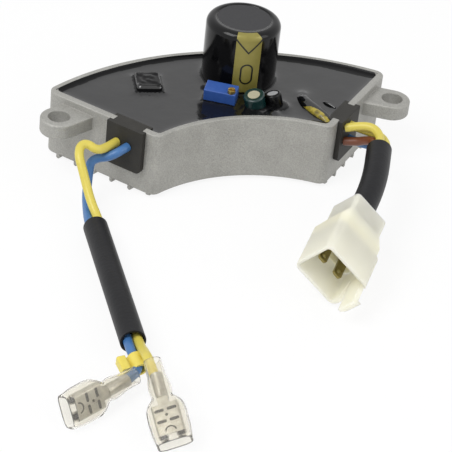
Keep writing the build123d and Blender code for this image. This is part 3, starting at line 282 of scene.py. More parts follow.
# Lacquered laminate: olive green, with the faint mottle of its weave
laminate = new_finish("glass_fibre_laminate", Roughness=0.45)
mottled(laminate, "#4F5F33", "#66774A", 0.8)
dress(laminate, "circuit_board")

# Dipped tin: bright and slightly uneven
tinned = new_finish("tinned_copper", Metallic=1.0, Roughness=0.28)
mottled(tinned, "#B9B6AE", "#D6D3CC", 1.2)
grained(tinned, 0.4, 0.015, edge=0.08)
dress(
    tinned,
    "axial_leads",
    "transistor_leads",
    "rectifier_legs",
    "trimmer_pins",
    "small_capacitor_leads",
    "main_capacitor_pins",
)

# Moulded epoxy: charcoal, matte from the mould
moulded_epoxy = new_finish("moulded_epoxy", Roughness=0.42)
mottled(moulded_epoxy, "#1B1B1D", "#2B2B2E", 1.5)
grained(moulded_epoxy, 0.25, 0.02, edge=0.3)
dress(moulded_epoxy, "power_transistor", "diodes")

# Dipped lacquer: tan, with a soft gloss
lacquered_ceramic = new_finish("lacquered_ceramic", Roughness=0.3)
mottled(lacquered_ceramic, "#C2AC80", "#D2BF95", 1.0)
dress(lacquered_ceramic, "resistors")

# Pressed fibre board: dark grey, flat and felted
pressed_board = new_finish("pressed_board", Roughness=0.75)
mottled(pressed_board, "#28282A", "#353537", 0.6, detail=4.0)
grained(pressed_board, 0.3, 0.03)
dress(pressed_board, "main_capacitor_disc", "insulating_pad")

# Wound paper: a dry pale brown
wound_paper = new_finish("wound_paper", Roughness=0.8)
mottled(wound_paper, "#84785F", "#968A72", 0.5)
dress(wound_paper, "main_capacitor_winding")


# Potting resin: black epoxy poured to just under the rim. It creeps up the walls and up every part that
# stands in it, and its skin has set with slow waves and a few puddles, like lacquer.
POUR_INNER = 46.95
POUR_OUTER = 83.2
END_NORMAL = Vector((0.735513, -0.677511))
END_WAY = Vector((0.677511, 0.735513))
END_DISTANCE = -8.3953
RESIN_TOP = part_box("potting_resin")[1].z / MM
SKIN_LIFT = 0.17
SKIN_STEP = 0.5
EDGE_BAND = 3.2
EDGE_STEP = 0.2
CAN_MIDDLE = (6.45, 8.76)
CAN_WIDTH = 22.0
FILM = 0.15
FILM_RADIUS = CAN_WIDTH / 2 + FILM
STANDING_ROUND = [(*CAN_MIDDLE, FILM_RADIUS), (8.2, -8.2, 3.3), (13.9, -9.4, 2.7)]
TRIMMER_FOOT = ((-2.55, -4.0), radians(-28.2), 4.77, 2.6)
BLOCK_MIDDLE = (-21.9, 6.5)
BLOCK_HALF = (3.95, 4.6)
BLOCK_TURN = radians(-6.0)
BLOCK_FOOTPRINT = (BLOCK_MIDDLE, BLOCK_TURN, *BLOCK_HALF)
LINK_LINE = [(25.8, -17.0), (23.0, -11.4), (22.2, -7.6), (23.3, -3.6)]
COATED_LINE = [(22.9, -10.9), (22.2, -7.6), (23.4, -3.4)]

# How far out and how high the resin climbs, at the end walls, the outer wall, what stands in it and the wire
WALL_CREEP = (0.9, 0.45)
ARC_CREEP = (0.7, 0.95)
ROUND_CREEP = (0.8, 0.6)
SQUARE_CREEP = (0.8, 0.5)
LINK_CREEP = (1.1, 0.5)
LINK_HALF = 1.0

# Middle, width and height of the lump in front of the small capacitors and of the ridge over the wire, then
# length, height and seed of the slow waves and of the puddles round the trimmer
LUMP = ((11.4, -13.5), 1.5, 1.1)
RIDGE = (1.6, 0.6)
WAVES = [(17, 0.10, 0.3), (5, 0.03, 4.1)]
PUDDLES = (2.6, 0.16, 7.7)
PUDDLED = ((4, -7), 11)


def end_angle(radius, distance):
    """Angle from the middle line at which an arc of this radius meets an end wall."""
    corner = END_NORMAL * distance + END_WAY * sqrt(radius**2 - distance**2)
    return atan2(corner.x, corner.y)


def creep(distance, reach, height):
    """Rise of the resin at this distance from what it clings to."""
    return height * exp(-max(distance, 0.0) / reach)


def to_square(x, y, centre, turn, half_length, half_width):
    """Distance from a turned rectangle."""
    dx, dy = x - centre[0], y - centre[1]
    along = abs(dx * cos(turn) + dy * sin(turn)) - half_length
    across = abs(dy * cos(turn) - dx * sin(turn)) - half_width
    return hypot(max(along, 0), max(across, 0))


def to_line(x, y, points):
    """Distance from a line of points."""
    best = 1e9
    for (ax, ay), (bx, by) in zip(points, points[1:]):
        length = (bx - ax) ** 2 + (by - ay) ** 2
        share = min(1, max(0, ((x - ax) * (bx - ax) + (y - ay) * (by - ay)) / length))
        best = min(best, hypot(x - ax - share * (bx - ax), y - ay - share * (by - ay)))
    return best


def hump(distance, width, height):
    """Rise of a round hump at this distance from its middle."""
    return height * exp(-((distance / width) ** 2))


def wave(x, y, length, height, seed):
    """Rise of slow random waves."""
    return height * noise.noise(Vector((x / length, y / length, seed)))


def resin_height(x, y, to_wall, to_arc):
    """Height of the resin's skin in millimetres."""
    rises = [creep(to_wall, *WALL_CREEP), creep(to_arc, *ARC_CREEP)]
    for cx, cy, radius in STANDING_ROUND:
        rises.append(creep(hypot(x - cx, y - cy) - radius, *ROUND_CREEP))
    for footprint in (TRIMMER_FOOT, BLOCK_FOOTPRINT):
        rises.append(creep(to_square(x, y, *footprint), *SQUARE_CREEP))
    rises.append(creep(to_line(x, y, LINK_LINE) - LINK_HALF, *LINK_CREEP))
    rises.append(hump(to_line(x, y, COATED_LINE), *RIDGE))
    (lump_x, lump_y), *lump = LUMP
    (puddled_x, puddled_y), reach = PUDDLED
    loose = sum(wave(x, y, *each) for each in WAVES)
    loose += hump(hypot(x - puddled_x, y - puddled_y), reach, 1.0) * wave(x, y, *PUDDLES)
    return RESIN_TOP + SKIN_LIFT + max(rises) + hump(hypot(x - lump_x, y - lump_y), *lump) + loose


def new_object(name, mesh_or_curve):
    """Object in the scene for this mesh or curve."""
    made = bpy.data.objects.new(name, mesh_or_curve)
    bpy.context.scene.collection.objects.link(made)
    return made


def mesh_object(name, vertices, faces, finish):
    """Smooth mesh object in metres from millimetres."""
    mesh = bpy.data.meshes.new(name)
    mesh.from_pydata([tuple(c * MM for c in vertex) for vertex in vertices], [], faces)
    mesh.materials.append(finish)
    mesh.shade_smooth()
    return new_object(name, mesh)


def grid_faces(rows, columns, closed=False):
    """Quads of a grid of points listed row by row."""
    faces = []
    for row in range(rows - 1):
        for column in range(columns - (0 if closed else 1)):
            after = (column + 1) % columns
            here, beyond = row * columns, (row + 1) * columns
            faces.append((here + column, here + after, beyond + after, beyond + column))
    return faces


def resin_skin():
    """The whole top surface of the resin, wall to wall, with finer rows along the outer wall."""
    width = POUR_OUTER - EDGE_BAND - POUR_INNER
    inner_rows = ceil(width / SKIN_STEP)
    radii = [POUR_INNER + width * row / inner_rows for row in range(inner_rows)]
    edge_rows = round(EDGE_BAND / EDGE_STEP)
    radii += [POUR_OUTER - EDGE_BAND + EDGE_STEP * row for row in range(edge_rows + 1)]
    columns = ceil(2 * end_angle(POUR_OUTER, END_DISTANCE) * POUR_OUTER / SKIN_STEP) + 1
    points = []
    for radius in radii:
        limit = end_angle(radius, END_DISTANCE)
        for column in range(columns):
            angle = -limit + 2 * limit * column / (columns - 1)
            x, y = radius * sin(angle), radius * cos(angle)
            to_end = Vector((abs(x), y)).dot(END_NORMAL)
            to_wall = min(radius - POUR_INNER, END_DISTANCE - to_end)
            y += ARC_CENTRE_Y
            points.append((x, y, resin_height(x, y, to_wall, POUR_OUTER - radius)))
    return points, grid_faces(len(radii), columns)


DUST_PATCH = 2.5

# Poured epoxy: black and as smooth as lacquer, a little hazed where dust has settled
potting_epoxy = new_finish("potting_epoxy", IOR=1.55, Base_Color=linear("#101012"))
tree = potting_epoxy.node_tree
place = add_node(tree, "ShaderNodeTexCoord").outputs["Object"]
links = {"Vector": place, "Scale": 1 / (DUST_PATCH * MM), "Detail": 5.0}
dust = add_node(tree, "ShaderNodeTexNoise", links).outputs["Fac"]
links = {"Value": dust, "From Min": 0.45, "From Max": 0.75, "To Min": 0.08, "To Max": 0.22}
haze = add_node(tree, "ShaderNodeMapRange", links).outputs[0]
tree.links.new(haze, tree.nodes["Principled BSDF"].inputs["Roughness"])
grained(potting_epoxy, 1.8, 0.03)
dress(potting_epoxy, "potting_resin")
skin = mesh_object("resin_skin", *resin_skin(), potting_epoxy)
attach(skin, "regulator")

PAINTED_DARK_BAND = 1.5
BAND_WANDER = (9, 0.4, 2.0)
BAND_EXTRA = 1.3
BAND_SIDE = 24
BAND_SPREAD = 4
PAINTED_DARK_FOOT = 0.45

# Painted dark reflection: the resin's steep edges mirror little of the room, so a darker, less reflective copy
# of the resin is laid in a band along the outer wall, wider towards the right, and round the feet of what
# stands in it
painted_dark_epoxy = new_finish("potting_epoxy_painted_dark", Roughness=0.3, Specular_IOR_Level=0.15)
mottled(painted_dark_epoxy, "#070708", "#101012", 3.0)
skin.data.materials.append(painted_dark_epoxy)
for face in skin.data.polygons:
    middle = face.center / MM
    x, y = middle.x, middle.y
    band = PAINTED_DARK_BAND + wave(x, y, *BAND_WANDER) + BAND_EXTRA / (1 + exp((BAND_SIDE - x) / BAND_SPREAD))
    to_feet = [to_square(x, y, *footprint) for footprint in (TRIMMER_FOOT, BLOCK_FOOTPRINT)]
    to_feet += [hypot(x - cx, y - cy) - radius for cx, cy, radius in STANDING_ROUND]
    if POUR_OUTER - hypot(x, y - ARC_CENTRE_Y) < band or min(to_feet) < PAINTED_DARK_FOOT:
        face.material_index = 1


# Rectifier block: a moulded block that stands out of the resin and was coated by it, so its edges are round,
# its skin is wavy and glossy and resin climbs its foot.
BLOCK_TOP = 22.45
BLOCK_FOOT = 13.4
BLOCK_EDGE = 0.9
BLOCK_CORNER_POWER = 7.0
BLOCK_SIDES = 72
BLOCK_TOP_RINGS = 16
BLOCK_EDGE_RINGS = 6
BLOCK_SKIN_RINGS = (-0.4, 0.8)
BLOCK_WAVE_HEIGHT = 0.3
BLOCK_WAVE = Vector((1.5, 1.5, 2.0))
GLOSSY_EDGE = (0.3, 0.93)


def squared(share, power):
    """Cosine or sine for an ellipse that is squarer the higher its power."""
    return abs(share) ** (2 / power) * (1 if share > 0 else -1)


def coated_block():
    """Rounded block as rings from its foot to the middle of its top."""
    at_skin = [RESIN_TOP + offset for offset in BLOCK_SKIN_RINGS]
    heights = (BLOCK_FOOT, *at_skin, BLOCK_TOP - BLOCK_EDGE)
    stations = [(0.0, height, 1.0) for height in heights]
    for ring in range(1, BLOCK_EDGE_RINGS + 1):
        turn = pi / 2 * ring / BLOCK_EDGE_RINGS
        stations.append((BLOCK_EDGE * (1 - cos(turn)), BLOCK_TOP - BLOCK_EDGE * (1 - sin(turn)), 1.0))
    shares = [1 - ring / BLOCK_TOP_RINGS for ring in range(1, BLOCK_TOP_RINGS + 1)]
    stations += [(BLOCK_EDGE, BLOCK_TOP, share) for share in shares]
    points = []
    for inset, height, share in stations:
        for side in range(BLOCK_SIDES):
            turn = 2 * pi * side / BLOCK_SIDES
            u = (BLOCK_HALF[0] - inset) * share * squared(cos(turn), BLOCK_CORNER_POWER)
            v = (BLOCK_HALF[1] - inset) * share * squared(sin(turn), BLOCK_CORNER_POWER)
            x = BLOCK_MIDDLE[0] + u * cos(BLOCK_TURN) - v * sin(BLOCK_TURN)
            y = BLOCK_MIDDLE[1] + u * sin(BLOCK_TURN) + v * cos(BLOCK_TURN)
            spot = Vector((x / BLOCK_WAVE.x, y / BLOCK_WAVE.y, height / BLOCK_WAVE.z))
            rise = BLOCK_WAVE_HEIGHT * noise.noise(spot) if height > RESIN_TOP else 0
            points.append((x, y, height + rise))
    faces = grid_faces(len(stations), BLOCK_SIDES, closed=True)
    faces.append(tuple(range(BLOCK_SIDES))[::-1])
    return points, faces


# Moulding under a coat of epoxy: black and wet-looking, with sharp glints on its wavy edges
coated_moulding = new_finish("epoxy_coated_moulding", Roughness=0.07, Specular_IOR_Level=0.8)
mottled(coated_moulding, "#060607", "#0E0E10", 2.0)
grained(coated_moulding, 1.4, 0.12, detail=1.0)
block = mesh_object("coated_rectifier", *coated_block(), coated_moulding)

# Painted shade: only the rounded edges keep the glossy coat; the flat top and the sides get the resin's darker,
# less reflective copy, so they look as black as the resin's edges
block.data.materials.append(painted_dark_epoxy)
for face in block.data.polygons:
    if not GLOSSY_EDGE[0] < face.normal.z < GLOSSY_EDGE[1]:
        face.material_index = 1
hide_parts("rectifier_block")
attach(block, "regulator")


# Main capacitor: a drawn aluminium can in a black shrink film that is open over a pressed-board disc. The
# film carries an olive-gold stripe for the minus side, with a dark chevron and an oval.

# Shrunk film: nearly black and sleek, with slow ripples
shrink_film = new_finish("polyester_shrink_film", Roughness=0.12, IOR=1.4, Specular_IOR_Level=0.36)
mottled(shrink_film, "#060607", "#0D0D0F", 6.0)
grained(shrink_film, 5.0, 0.05, detail=1.0, edge=0.3)
dress(shrink_film, "main_capacitor_sleeve", "black_capacitor_sleeve")

# Drawn aluminium: bright and silvery
drawn_aluminium = new_finish("drawn_aluminium", Metallic=1.0, Roughness=0.32)
mottled(drawn_aluminium, "#B8B8B6", "#CFCFCD", 1.5)
grained(drawn_aluminium, 0.3, 0.01)

# Bare can top: pale grey, dulled by its coining
dull_aluminium = new_finish("dull_aluminium", Metallic=0.2, Roughness=0.35)
mottled(dull_aluminium, "#A9AAAC", "#C6C7C9", 0.8)
grained(dull_aluminium, 0.3, 0.02)
dress(dull_aluminium, "black_capacitor_can")

CAN_SHEET = 0.4
CAN_EDGE = 2.0
FILM_OPENING = 8.0
FILM_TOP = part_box("main_capacitor_sleeve")[1].z / MM
CAN_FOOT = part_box("main_capacitor_can")[0].z / MM
PRINT_LIFT = 0.03
PRINT_STEP = 0.4
STRIPE_MIDDLE = radians(-96.0)
STRIPE_HALF = 3.9
TURNED_SIDES = 96
SHOULDER_STEPS = 9
AXIS_RADIUS = 0.01


def shoulder(radius, top, edge):
    """Radius and height of a rounded top edge, from its side to its flat top."""
    arc = [pi / 2 * step / SHOULDER_STEPS for step in range(SHOULDER_STEPS + 1)]
    return [(radius - edge * (1 - cos(turn)), top - edge * (1 - sin(turn))) for turn in arc]


def turned(name, profile, finish):
    """Closed profile in (radius, height) turned about the can's axis."""
    points = []
    for radius, height in [*profile, profile[0]]:
        for side in range(TURNED_SIDES):
            turn = 2 * pi * side / TURNED_SIDES
            points.append((CAN_MIDDLE[0] + radius * cos(turn), CAN_MIDDLE[1] + radius * sin(turn), height))
    return mesh_object(name, points, grid_faces(len(profile) + 1, TURNED_SIDES, closed=True), finish)


can_shell = turned(
    "can_shell",
    [
        (CAN_WIDTH / 2, CAN_FOOT),
        *shoulder(CAN_WIDTH / 2, FILM_TOP - FILM, CAN_EDGE),
        (AXIS_RADIUS, FILM_TOP - FILM),
        (AXIS_RADIUS, FILM_TOP - FILM - CAN_SHEET),
        *shoulder(CAN_WIDTH / 2 - CAN_SHEET, FILM_TOP - FILM - CAN_SHEET, CAN_EDGE - CAN_SHEET)[::-1],
        (CAN_WIDTH / 2 - CAN_SHEET, CAN_FOOT),
    ],
    drawn_aluminium,
)
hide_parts("main_capacitor_can")
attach(can_shell, "regulator")
film_shell = turned(
    "film_shell",
    [
        (FILM_RADIUS, CAN_FOOT),
        *shoulder(FILM_RADIUS, FILM_TOP, CAN_EDGE + FILM),
        (FILM_OPENING, FILM_TOP),
        (FILM_OPENING, FILM_TOP - FILM),
        *shoulder(CAN_WIDTH / 2, FILM_TOP - FILM, CAN_EDGE)[::-1],
        (CAN_WIDTH / 2, CAN_FOOT),
    ],
    shrink_film,
)
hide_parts("main_capacitor_sleeve")
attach(film_shell, "regulator")


def on_film(along, down, lift):
    """Point on the film by its way round the can and its way down from the edge of the flat top."""
    edge = CAN_EDGE + FILM
    quarter = edge * pi / 2
    if down < 0:
        radius, height = FILM_RADIUS - edge + down, FILM_TOP + lift
    elif down < quarter:
        radius = FILM_RADIUS - edge + (edge + lift) * sin(down / edge)
        height = FILM_TOP - edge + (edge + lift) * cos(down / edge)
    else:
        radius, height = FILM_RADIUS + lift, FILM_TOP - edge - (down - quarter)
    angle = STRIPE_MIDDLE + along / FILM_RADIUS
    return Vector((CAN_MIDDLE[0] + radius * cos(angle), CAN_MIDDLE[1] + radius * sin(angle), height)) * MM


def around_can(outlines, lift):
    """Closed outlines in (way round, way down) as thin patches laid over the can's shoulder and side."""
    flat = bmesh.new()
    for outline in outlines:
        flat.faces.new([flat.verts.new((along, down, 0)) for along, down in outline])
    bmesh.ops.triangulate(flat, faces=flat.faces[:])
    for column in (0, 1):
        low = min(point[column] for outline in outlines for point in outline)
        high = max(point[column] for outline in outlines for point in outline)
        normal = (1 - column, column, 0)
        for step in range(1, ceil((high - low) / PRINT_STEP)):
            at = low + step * PRINT_STEP
            geometry = flat.verts[:] + flat.edges[:] + flat.faces[:]
            on_plane = (at * normal[0], at * normal[1], 0)
            bmesh.ops.bisect_plane(flat, geom=geometry, plane_co=on_plane, plane_no=normal, dist=1e-6)
    for vertex in flat.verts:
        vertex.co = on_film(vertex.co.x, vertex.co.y, lift)
    bmesh.ops.reverse_faces(flat, faces=flat.faces[:])
    mesh = bpy.data.meshes.new("print")
    flat.to_mesh(mesh)
    flat.free()
    mesh.shade_smooth()
    return mesh


def printed(name, outlines, lift, finish):
    """One printed mark on the film."""
    mark = new_object(name, around_can(outlines, lift))
    mark.data.materials.append(finish)
    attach(mark, "regulator")


# Printed gold: olive, with a faint lustre
gold_ink = new_finish("olive_gold_ink", Roughness=0.3, Metallic=0.25)
mottled(gold_ink, "#837A3A", "#8F8746", 2.0)

# Printed black: flat and dense
black_ink = new_finish("black_ink", Roughness=0.3)
mottled(black_ink, "#10100A", "#12120C", 1.0)

STRIPE_TOP = 0.3
STRIPE_FOOT = FILM_TOP - RESIN_TOP
STRIPE_CORNER = (1.2, 2.6)
stripe = [
    (-STRIPE_HALF, STRIPE_FOOT),
    (STRIPE_HALF, STRIPE_FOOT),
    (STRIPE_HALF, STRIPE_CORNER[1]),
    (STRIPE_HALF - STRIPE_CORNER[0], STRIPE_TOP),
    (-STRIPE_HALF, STRIPE_TOP),
]
printed("capacitor_stripe", [stripe], PRINT_LIFT, gold_ink)

CHEVRON_TOP = 3.2
CHEVRON_TIP = 7.4
CHEVRON_LINE = 0.7
chevron = [
    (-STRIPE_HALF, CHEVRON_TOP),
    (0, CHEVRON_TIP),
    (STRIPE_HALF, CHEVRON_TOP),
    (STRIPE_HALF, CHEVRON_TOP - CHEVRON_LINE),
    (0, CHEVRON_TIP - CHEVRON_LINE),
    (-STRIPE_HALF, CHEVRON_TOP - CHEVRON_LINE),
]
printed("stripe_chevron", [chevron], PRINT_LIFT * 2, black_ink)

OVAL_HEIGHT = 26.4
OVAL_MIDDLE = FILM_TOP - OVAL_HEIGHT
OVAL_HALF_WIDTH = 1.95
OVAL_HALF_HEIGHT = 3.4
OVAL_LINE = 0.5
OVAL_STEPS = 48


def stadium(half_width, half_height, turn):
    """Point of an upright stadium about the oval's middle."""
    lift = (half_height - half_width) * (1 if cos(turn) > 0 else -1)
    return (half_width * sin(turn), OVAL_MIDDLE - lift - half_width * cos(turn))


turns = [2 * pi * step / OVAL_STEPS for step in range(OVAL_STEPS + 1)]
outer = [stadium(OVAL_HALF_WIDTH, OVAL_HALF_HEIGHT, turn) for turn in turns]
inner = [stadium(OVAL_HALF_WIDTH - OVAL_LINE, OVAL_HALF_HEIGHT - OVAL_LINE, turn) for turn in turns]
ring = [(outer[step], outer[step + 1], inner[step + 1], inner[step]) for step in range(OVAL_STEPS)]
printed("stripe_oval", ring, PRINT_LIFT * 2, black_ink)


# Trimmer: a moulded polyester block with a turned brass screw in its top, pushed into the board by its pins.
# The block comes from its mould a deep matte blue.
trimmer_plastic = new_finish("blue_polyester_moulding", Roughness=0.45)
mottled(trimmer_plastic, "#244A93", "#3259A2", 1.2)
grained(trimmer_plastic, 0.3, 0.02, edge=0.2)
dress(trimmer_plastic, "trimmer_body")

# Turned brass: a warm yellow with fine tool marks
turned_brass = new_finish("turned_brass", Metallic=1.0, Roughness=0.3)
mottled(turned_brass, "#B89A54", "#D2B66E", 0.8)
grained(turned_brass, 0.2, 0.01, edge=0.1)
dress(turned_brass, "trimmer_screw")


# Small capacitors: deep-drawn aluminium cans in shrink film, standing in the resin. One is dark teal with a
# cream top, the other black with a bare top.

# Shrunk film in dark teal: glossy, with slow ripples
teal_film = new_finish("teal_shrink_film", Roughness=0.15, IOR=1.5)
mottled(teal_film, "#0D2727", "#163636", 3.0)
grained(teal_film, 2.0, 0.03, detail=1.0, edge=0.2)
dress(teal_film, "green_capacitor_sleeve")

# Lacquered can top: a greyed cream with a soft shine
cream_top = new_finish("cream_lacquer", Roughness=0.18)
mottled(cream_top, "#A09C86", "#BDB99F", 1.0)
grained(cream_top, 0.4, 0.02)
dress(cream_top, "green_capacitor_can")


# Sleeves: plain black PVC sleeving, extruded, cut square and pushed over the wires. Its skin is charcoal and
# matte, with faint scuffs.
black_sleeving = new_finish("black_pvc_sleeving", Roughness=0.42, Specular_IOR_Level=0.2)
mottled(black_sleeving, "#121214", "#1E1E21", 5.0, detail=3.0)
grained(black_sleeving, 1.0, 0.05, detail=3.0, edge=0.15)
dress(black_sleeving, "left_sleeve", "right_sleeve")


# Cable marker: a ring of yellow polypropylene moulded with its tag, clipped on the blue wire. It is opaque,
# with a waxy skin.
marker_plastic = new_finish("yellow_polypropylene", Roughness=0.4)
mottled(marker_plastic, "#DCC850", "#E6D668", 1.5)
grained(marker_plastic, 0.6, 0.03, edge=0.3)

MARKER_UPPER_END = Vector((-48.98, -100.8, 5.45))
MARKER_WAY = Vector((0.16, -0.979, -0.127))
MARKER_STRETCH = 0.45


def lengthened(spot):
    """The photographed marker is longer along its wire than the CAD one."""
    return spot + MARKER_WAY * (MARKER_STRETCH * max((spot - MARKER_UPPER_END).dot(MARKER_WAY), 0))


marker = reshaped("marker_moulding", "cable_marker", lengthened, "marker_plastic", marker_plastic)


# Receptacles and their insulators: folded tinned brass, crimped on the wire and pushed into a soft clear PVC
# boot that was moulded over a core, so that it swells round the receptacle and narrows behind it.

# Tinned brass sheet: silvery grey, patchy where the tin is worn
tinned_brass = new_finish("tinned_brass", Metallic=0.8, Roughness=0.36)
mottled(tinned_brass, "#8E8A80", "#D6D3CA", 1.6)
grained(tinned_brass, 1.2, 0.04, edge=0.1)

# Painted shade inside the folds and in the spring plate's slots: tin coloured nearly black
painted_shade = new_finish("tarnished_tin", Metallic=0.6, Roughness=0.5)
mottled(painted_shade, "#1C1A15", "#332F27", 1.0)

# Middle of each insulator's mouth, the way from it along the wire, and the way across its width
YELLOW_MOUTH = ((-45.66, -132.3, 3.1), (-0.04, 0.952, 0.303), (0.939, -0.076, 0.334))
BLUE_MOUTH = ((-69.8, -118.8, 4.5), (0.865, 0.5, 0.01), (0.316, -0.318, -0.893))

# How far from the mouth each edge of the CAD receptacle lies, and where it goes
METAL_STATIONS = [
    (0, 1.2),
    (1.2, 2.4),
    (3.45, 5.6),
    (3.95, 6.4),
    (6.45, 8.7),
    (6.95, 9.5),
    (9.2, 10.8),
    (11.2, 12.8),
    (19, 20.6),
]
METAL_WIDTH_SHARE = 0.94
INSIDE_LENGTH = 11
INSIDE_LEVEL = 0.5


def square_to(axis, width_way):
    """Unit axis, unit way across it and the way up."""
    axis = Vector(axis).normalized()
    across = Vector(width_way)
    across = (across - axis * across.dot(axis)).normalized()
    return axis, across, axis.cross(across)


def receptacle(name, node_name, mouth, axis, width_way):
    """Receptacle set a little deeper and narrower than the CAD one, with painted shade on its inside."""
    axis, across, upward = square_to(axis, width_way)
    mouth = Vector(mouth)

    def place(spot):
        offset = spot - mouth
        at, side = offset.dot(axis), offset.dot(across)
        for (low, new_low), (high, new_high) in zip(METAL_STATIONS, METAL_STATIONS[1:]):
            if at <= high:
                break
        moved = new_low + (at - low) / (high - low) * (new_high - new_low)
        return spot + axis * (moved - at) + across * (side * (METAL_WIDTH_SHARE - 1))

    made = reshaped(name, node_name, place, "tinned_metal", tinned_brass, painted_shade)
    to_world = made.matrix_world
    turn = to_world.to_3x3()
    # Painted shade: faces that look inward near the mouth get the nearly black tin
    for face in made.data.polygons:
        offset = to_world @ face.center / MM - mouth
        level = offset.dot(upward)
        inward = (turn @ face.normal).dot(upward) * level < 0
        if inward and offset.dot(axis) < INSIDE_LENGTH and abs(level) > INSIDE_LEVEL:
            face.material_index = 1
    return made


SLOT_ROWS = (6.0, 9.1)
SLOT_SIDE = 1.6
SLOT_HALF_LENGTH = 1.2
SLOT_HALF_WIDTH = 0.42
PLATE_LEVEL = -1.34
DIMPLE_AT = 7.6
DIMPLE_RADIUS = 0.4
DIMPLE_SIDES = 16
TONGUE_AT = 3.0
TONGUE_RADIUS = 1.5
TONGUE_LINE = 0.4
TONGUE_STEPS = 12
SLOT_OUTLINE = ((-1, -0.4), (-0.85, -1), (0.85, -1), (1, -0.4), (1, 0.4), (0.85, 1), (-0.85, 1), (-1, 0.4))


def plate_shade_patches(name, mouth, axis, width_way):
    """Four slots, a dimple and the cut tongue of the receptacle's spring plate, as thin patches of painted
    shade.
    """
    axis, across, upward = square_to(axis, width_way)
    outlines = []
    for at in SLOT_ROWS:
        for side in (-SLOT_SIDE, SLOT_SIDE):
            slot = [(side + SLOT_HALF_LENGTH * sx, at + SLOT_HALF_WIDTH * sy) for sx, sy in SLOT_OUTLINE]
            outlines.append(slot)
    circle = [2 * pi * step / DIMPLE_SIDES for step in range(DIMPLE_SIDES)]
    outlines.append([(DIMPLE_RADIUS * cos(turn), DIMPLE_AT + DIMPLE_RADIUS * sin(turn)) for turn in circle])
    arc = [pi * step / TONGUE_STEPS for step in range(TONGUE_STEPS + 1)]
    inner, outer = TONGUE_RADIUS - TONGUE_LINE, TONGUE_RADIUS
    for low, high in zip(arc, arc[1:]):
        bend = ((inner, low), (outer, low), (outer, high), (inner, high))
        outlines.append([(r * cos(turn), TONGUE_AT + r * sin(turn)) for r, turn in bend])
    points, faces = [], []
    level = Vector(mouth) + upward * PLATE_LEVEL
    for outline in outlines:
        faces.append(tuple(range(len(points), len(points) + len(outline))))
        points += [level + axis * at + across * side for side, at in outline]
    marks = mesh_object(name, points, faces, painted_shade)
    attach(marks, "regulator")
    return marks


blue_metal = receptacle("blue_metal", "blue_receptacle", *BLUE_MOUTH)
yellow_metal = receptacle("yellow_metal", "yellow_receptacle", *YELLOW_MOUTH)
blue_marks = plate_shade_patches("blue_plate_marks", *BLUE_MOUTH)
yellow_marks = plate_shade_patches("yellow_plate_marks", *YELLOW_MOUTH)

# Soft clear PVC: faintly milky, so that the metal inside still shows
clear_pvc = new_finish("clear_soft_pvc", Roughness=0.12, IOR=1.22, Transmission_Weight=0.92)
mottled(clear_pvc, "#F6F3EA", "#FCFAF4", 5.0)
grained(clear_pvc, 2.5, 0.05, detail=1.0)

BOOT_WALL = 0.5

# Distance from the mouth, half width, half height and squareness of the clear insulator
BOOT_STATIONS = [
    (0.0, 4.45, 2.3, 4.0),
    (1.2, 4.6, 2.35, 4.0),
    (4.0, 4.95, 2.4, 4.0),
    (9.3, 4.9, 2.4, 3.8),
    (11.3, 4.2, 2.35, 3.2),
    (13.2, 2.75, 2.25, 2.4),
    (15.5, 2.95, 2.4, 2.2),
    (17.6, 2.75, 2.3, 2.2),
    (19.6, 2.4, 2.15, 2.2),
    (24.0, 2.3, 2.1, 2.2),
]
BOOT_RINGS = 49
BOOT_SIDES = 56
ROUNDING = 1e-9


def eased(stations, at):
    """Values between stations, on a smooth curve through them."""
    for index in range(len(stations) - 1):
        here, after = stations[index], stations[index + 1]
        if at <= after[0] + ROUNDING:
            break
    before = stations[max(index - 1, 0)]
    beyond = stations[min(index + 2, len(stations) - 1)]
    span = after[0] - here[0]
    share = (at - here[0]) / span
    values = []
    for column in range(1, len(here)):
        start = (after[column] - before[column]) / (after[0] - before[0]) * span
        stop = (beyond[column] - here[column]) / (beyond[0] - here[0]) * span
        value = (2 * share**3 - 3 * share**2 + 1) * here[column] + (share**3 - 2 * share**2 + share) * start
        value += (3 * share**2 - 2 * share**3) * after[column] + (share**3 - share**2) * stop
        values.append(value)
    return values


def boot(name, mouth, axis, width_way, length_share):
    """Clear insulator with an outer and an inner skin, pressed flat where it lies on the table."""
    axis, across, upward = square_to(axis, width_way)
    length = BOOT_STATIONS[-1][0]
    points = []
    stations = [length * ring / (BOOT_RINGS - 1) for ring in range(BOOT_RINGS)]
    for inset, order in ((0, stations), (BOOT_WALL, stations[::-1])):
        for at in order:
            half_width, half_height, power = eased(BOOT_STATIONS, at)
            for side in range(BOOT_SIDES):
                turn = 2 * pi * side / BOOT_SIDES
                u = (half_width - inset) * squared(cos(turn), power)
                v = (half_height - inset) * squared(sin(turn), power)
                spot = Vector(mouth) + axis * (at * length_share) + across * u + upward * v
                points.append((spot.x, spot.y, max(spot.z, 0)))
    rows = 2 * BOOT_RINGS
    faces = grid_faces(rows, BOOT_SIDES, closed=True)
    last = (rows - 1) * BOOT_SIDES
    for side in range(BOOT_SIDES):
        after = (side + 1) % BOOT_SIDES
        faces.append((last + side, last + after, after, side))
    made = mesh_object(name, points, faces, clear_pvc)
    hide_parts(name.replace("_boot", "_insulator"))
    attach(made, "regulator")
    return made


blue_boot = boot("blue_boot", *BLUE_MOUTH, length_share=0.94)
yellow_boot = boot("yellow_boot", *YELLOW_MOUTH, length_share=1.0)
